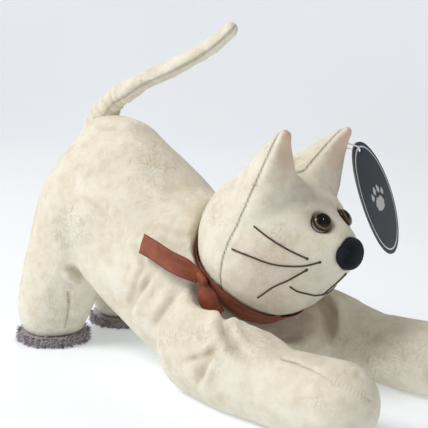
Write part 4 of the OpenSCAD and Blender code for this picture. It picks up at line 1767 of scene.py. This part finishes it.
@dataclass
class Studio:
    """A pale floor that curves up all round, soft lights and the camera."""

    floor_r: float = 2.2
    wall_r: float = 0.7
    focal_mm: float = 900 / 428 * 36

    def build(self) -> None:
        """Makes the floor, the lights, the world and the camera."""
        self.build_floor()
        self.build_light("key", (-1.35, 0.75, 1.75), (0.0, 0.0, 0.08), 1.0, 38, (1.0, 0.985, 0.955))
        self.build_light("fill", (-0.6, -2.2, 1.1), (0.0, 0.0, 0.1), 1.6, 1.5, (1.0, 0.93, 0.84))
        self.build_light("rim", (1.5, 1.5, 1.8), (0.0, 0.0, 0.12), 1.4, 13, (0.97, 0.985, 1.0))
        self.build_light("spark", (0.05, -0.75, 1.1), (0.0, -0.1, 0.12), 0.11, 0.8, (1.0, 0.98, 0.95))
        world = bpy.data.worlds.new("room")
        world.use_nodes = True
        world.node_tree.nodes["Background"].inputs[0].default_value = (1.0, 0.95, 0.88, 1.0)
        world.node_tree.nodes["Background"].inputs[1].default_value = 0.24
        bpy.context.scene.world = world
        bpy.context.scene.view_settings.view_transform = "Standard"
        self.build_camera()

    def build_floor(self) -> None:
        """The sweep: flat to floor_r, then a quarter circle of radius wall_r up."""
        bend = np.linspace(0, pi / 2, 24)
        flat = np.linspace(0.02, self.floor_r, 30)
        radius = np.append(flat, self.floor_r + self.wall_r * np.sin(bend[1:]))
        height = np.append(0 * flat, self.wall_r * (1 - np.cos(bend[1:])))
        points = radius[:, None, None] * round_ring(96, ACROSS, -AHEAD) + height[:, None, None] * UP
        obj = grid_object("studio_sweep", points, True, False)
        s = Shader("studio_paper", roughness=0.85, emission_color=(0.92, 0.96, 1.0), emission_strength=0.31)
        tone = s.noise(3, 2, 0.5).ramp(0.2, 0.8)
        s.feed(base_color=s.mix(tone, (0.70, 0.73, 0.77), (0.72, 0.75, 0.79)))
        obj.data.materials.append(s.material)

    @staticmethod
    def build_light(name: str, place: Sequence[float], aim: Sequence[float], size: float,
                    power: float, colour: Colour) -> None:
        """Makes a square soft light.

        Args:
            name: its name.
            place: its middle.
            aim: the place that it faces.
            size: its side.
            power: in watts.
            colour: its colour.
        """
        light = bpy.data.lights.new(name, "AREA")
        light.size, light.energy, light.color = size, power, colour
        obj = bpy.data.objects.new(name, light)
        obj.location = place
        obj.rotation_euler = (Vector(aim) - Vector(place)).to_track_quat("-Z", "Y").to_euler()
        bpy.context.scene.collection.objects.link(obj)

    def build_camera(self) -> None:
        """Makes the camera: 50 degrees round to the cat's right, looking down 8.8 degrees, rolled 1.5."""
        turn, fall, roll = radians(50), radians(8.8), radians(1.5)
        ahead = np.array((sin(turn) * cos(fall), cos(turn) * cos(fall), -sin(fall)))
        right = np.array((cos(turn), -sin(turn), 0.0))
        up = np.cross(right, ahead)
        columns = np.stack([right * cos(roll) + up * sin(roll),
                            up * cos(roll) - right * sin(roll), -ahead], 1)
        camera = bpy.data.cameras.new("camera")
        camera.lens, camera.sensor_width = self.focal_mm, 36
        obj = bpy.data.objects.new("camera", camera)
        obj.matrix_world = Matrix(columns.tolist()).to_4x4()
        obj.location = (-0.512, -0.423, 0.221)
        bpy.context.scene.collection.objects.link(obj)
        bpy.context.scene.camera = obj


# ======== the whole toy ========


def dress_inner(frame: Mapping) -> None:
    """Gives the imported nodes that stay, which are inner pieces and the loop, their finishes."""
    finishes = {
        Plain("bead_bag", (0.75, 0.73, 0.70), (0.5, 0.48, 0.46), 400, 0.8): ("weight_bag",),
        Plain("washer_plastic", (0.85, 0.85, 0.84), (0.7, 0.7, 0.69), 200, 0.45):
            ("eye_washers", "nose_washer"),
        Plain("tail_wire", (0.55, 0.56, 0.58), (0.3, 0.31, 0.33), 500, 0.35, 1.0):
            ("tail_low_wire", "tail_top_wire"),
        Plain("loop_plastic", (0.9, 0.9, 0.89), (0.78, 0.78, 0.77), 250, 0.28): ("tag_loop",),
    }
    for finish, nodes in finishes.items():
        material = finish.build()
        for node in nodes:
            mesh = frame["nodes"][node].data
            mesh.materials.clear()
            mesh.materials.append(material)


def main() -> None:
    """Builds the room and the toy's pieces in order, and reports each."""
    logging.basicConfig(level=logging.INFO, format="%(name)s: %(message)s")
    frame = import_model()
    Studio().build()
    cloth = CreamCloth().build()
    satin = Satin().build()
    pieces: list[bpy.types.Object] = []
    pieces.append(Torso(cloth).build(frame))
    pieces += Head(cloth, Thread().build(), Flock().build(), EyePlastic().build()).build(frame)
    pieces += Tail(cloth).build()
    pieces += Ribbon(satin).build(pieces[0])
    pieces += FurPads(PadFur().build()).build()
    pieces += HangTag(TagCard().build()).build()
    dress_inner(frame)
    for piece in pieces:
        LOG.info("%s: %d points, %d faces", piece.name, len(piece.data.vertices), len(piece.data.polygons))


if __name__ == "__main__":
    main()
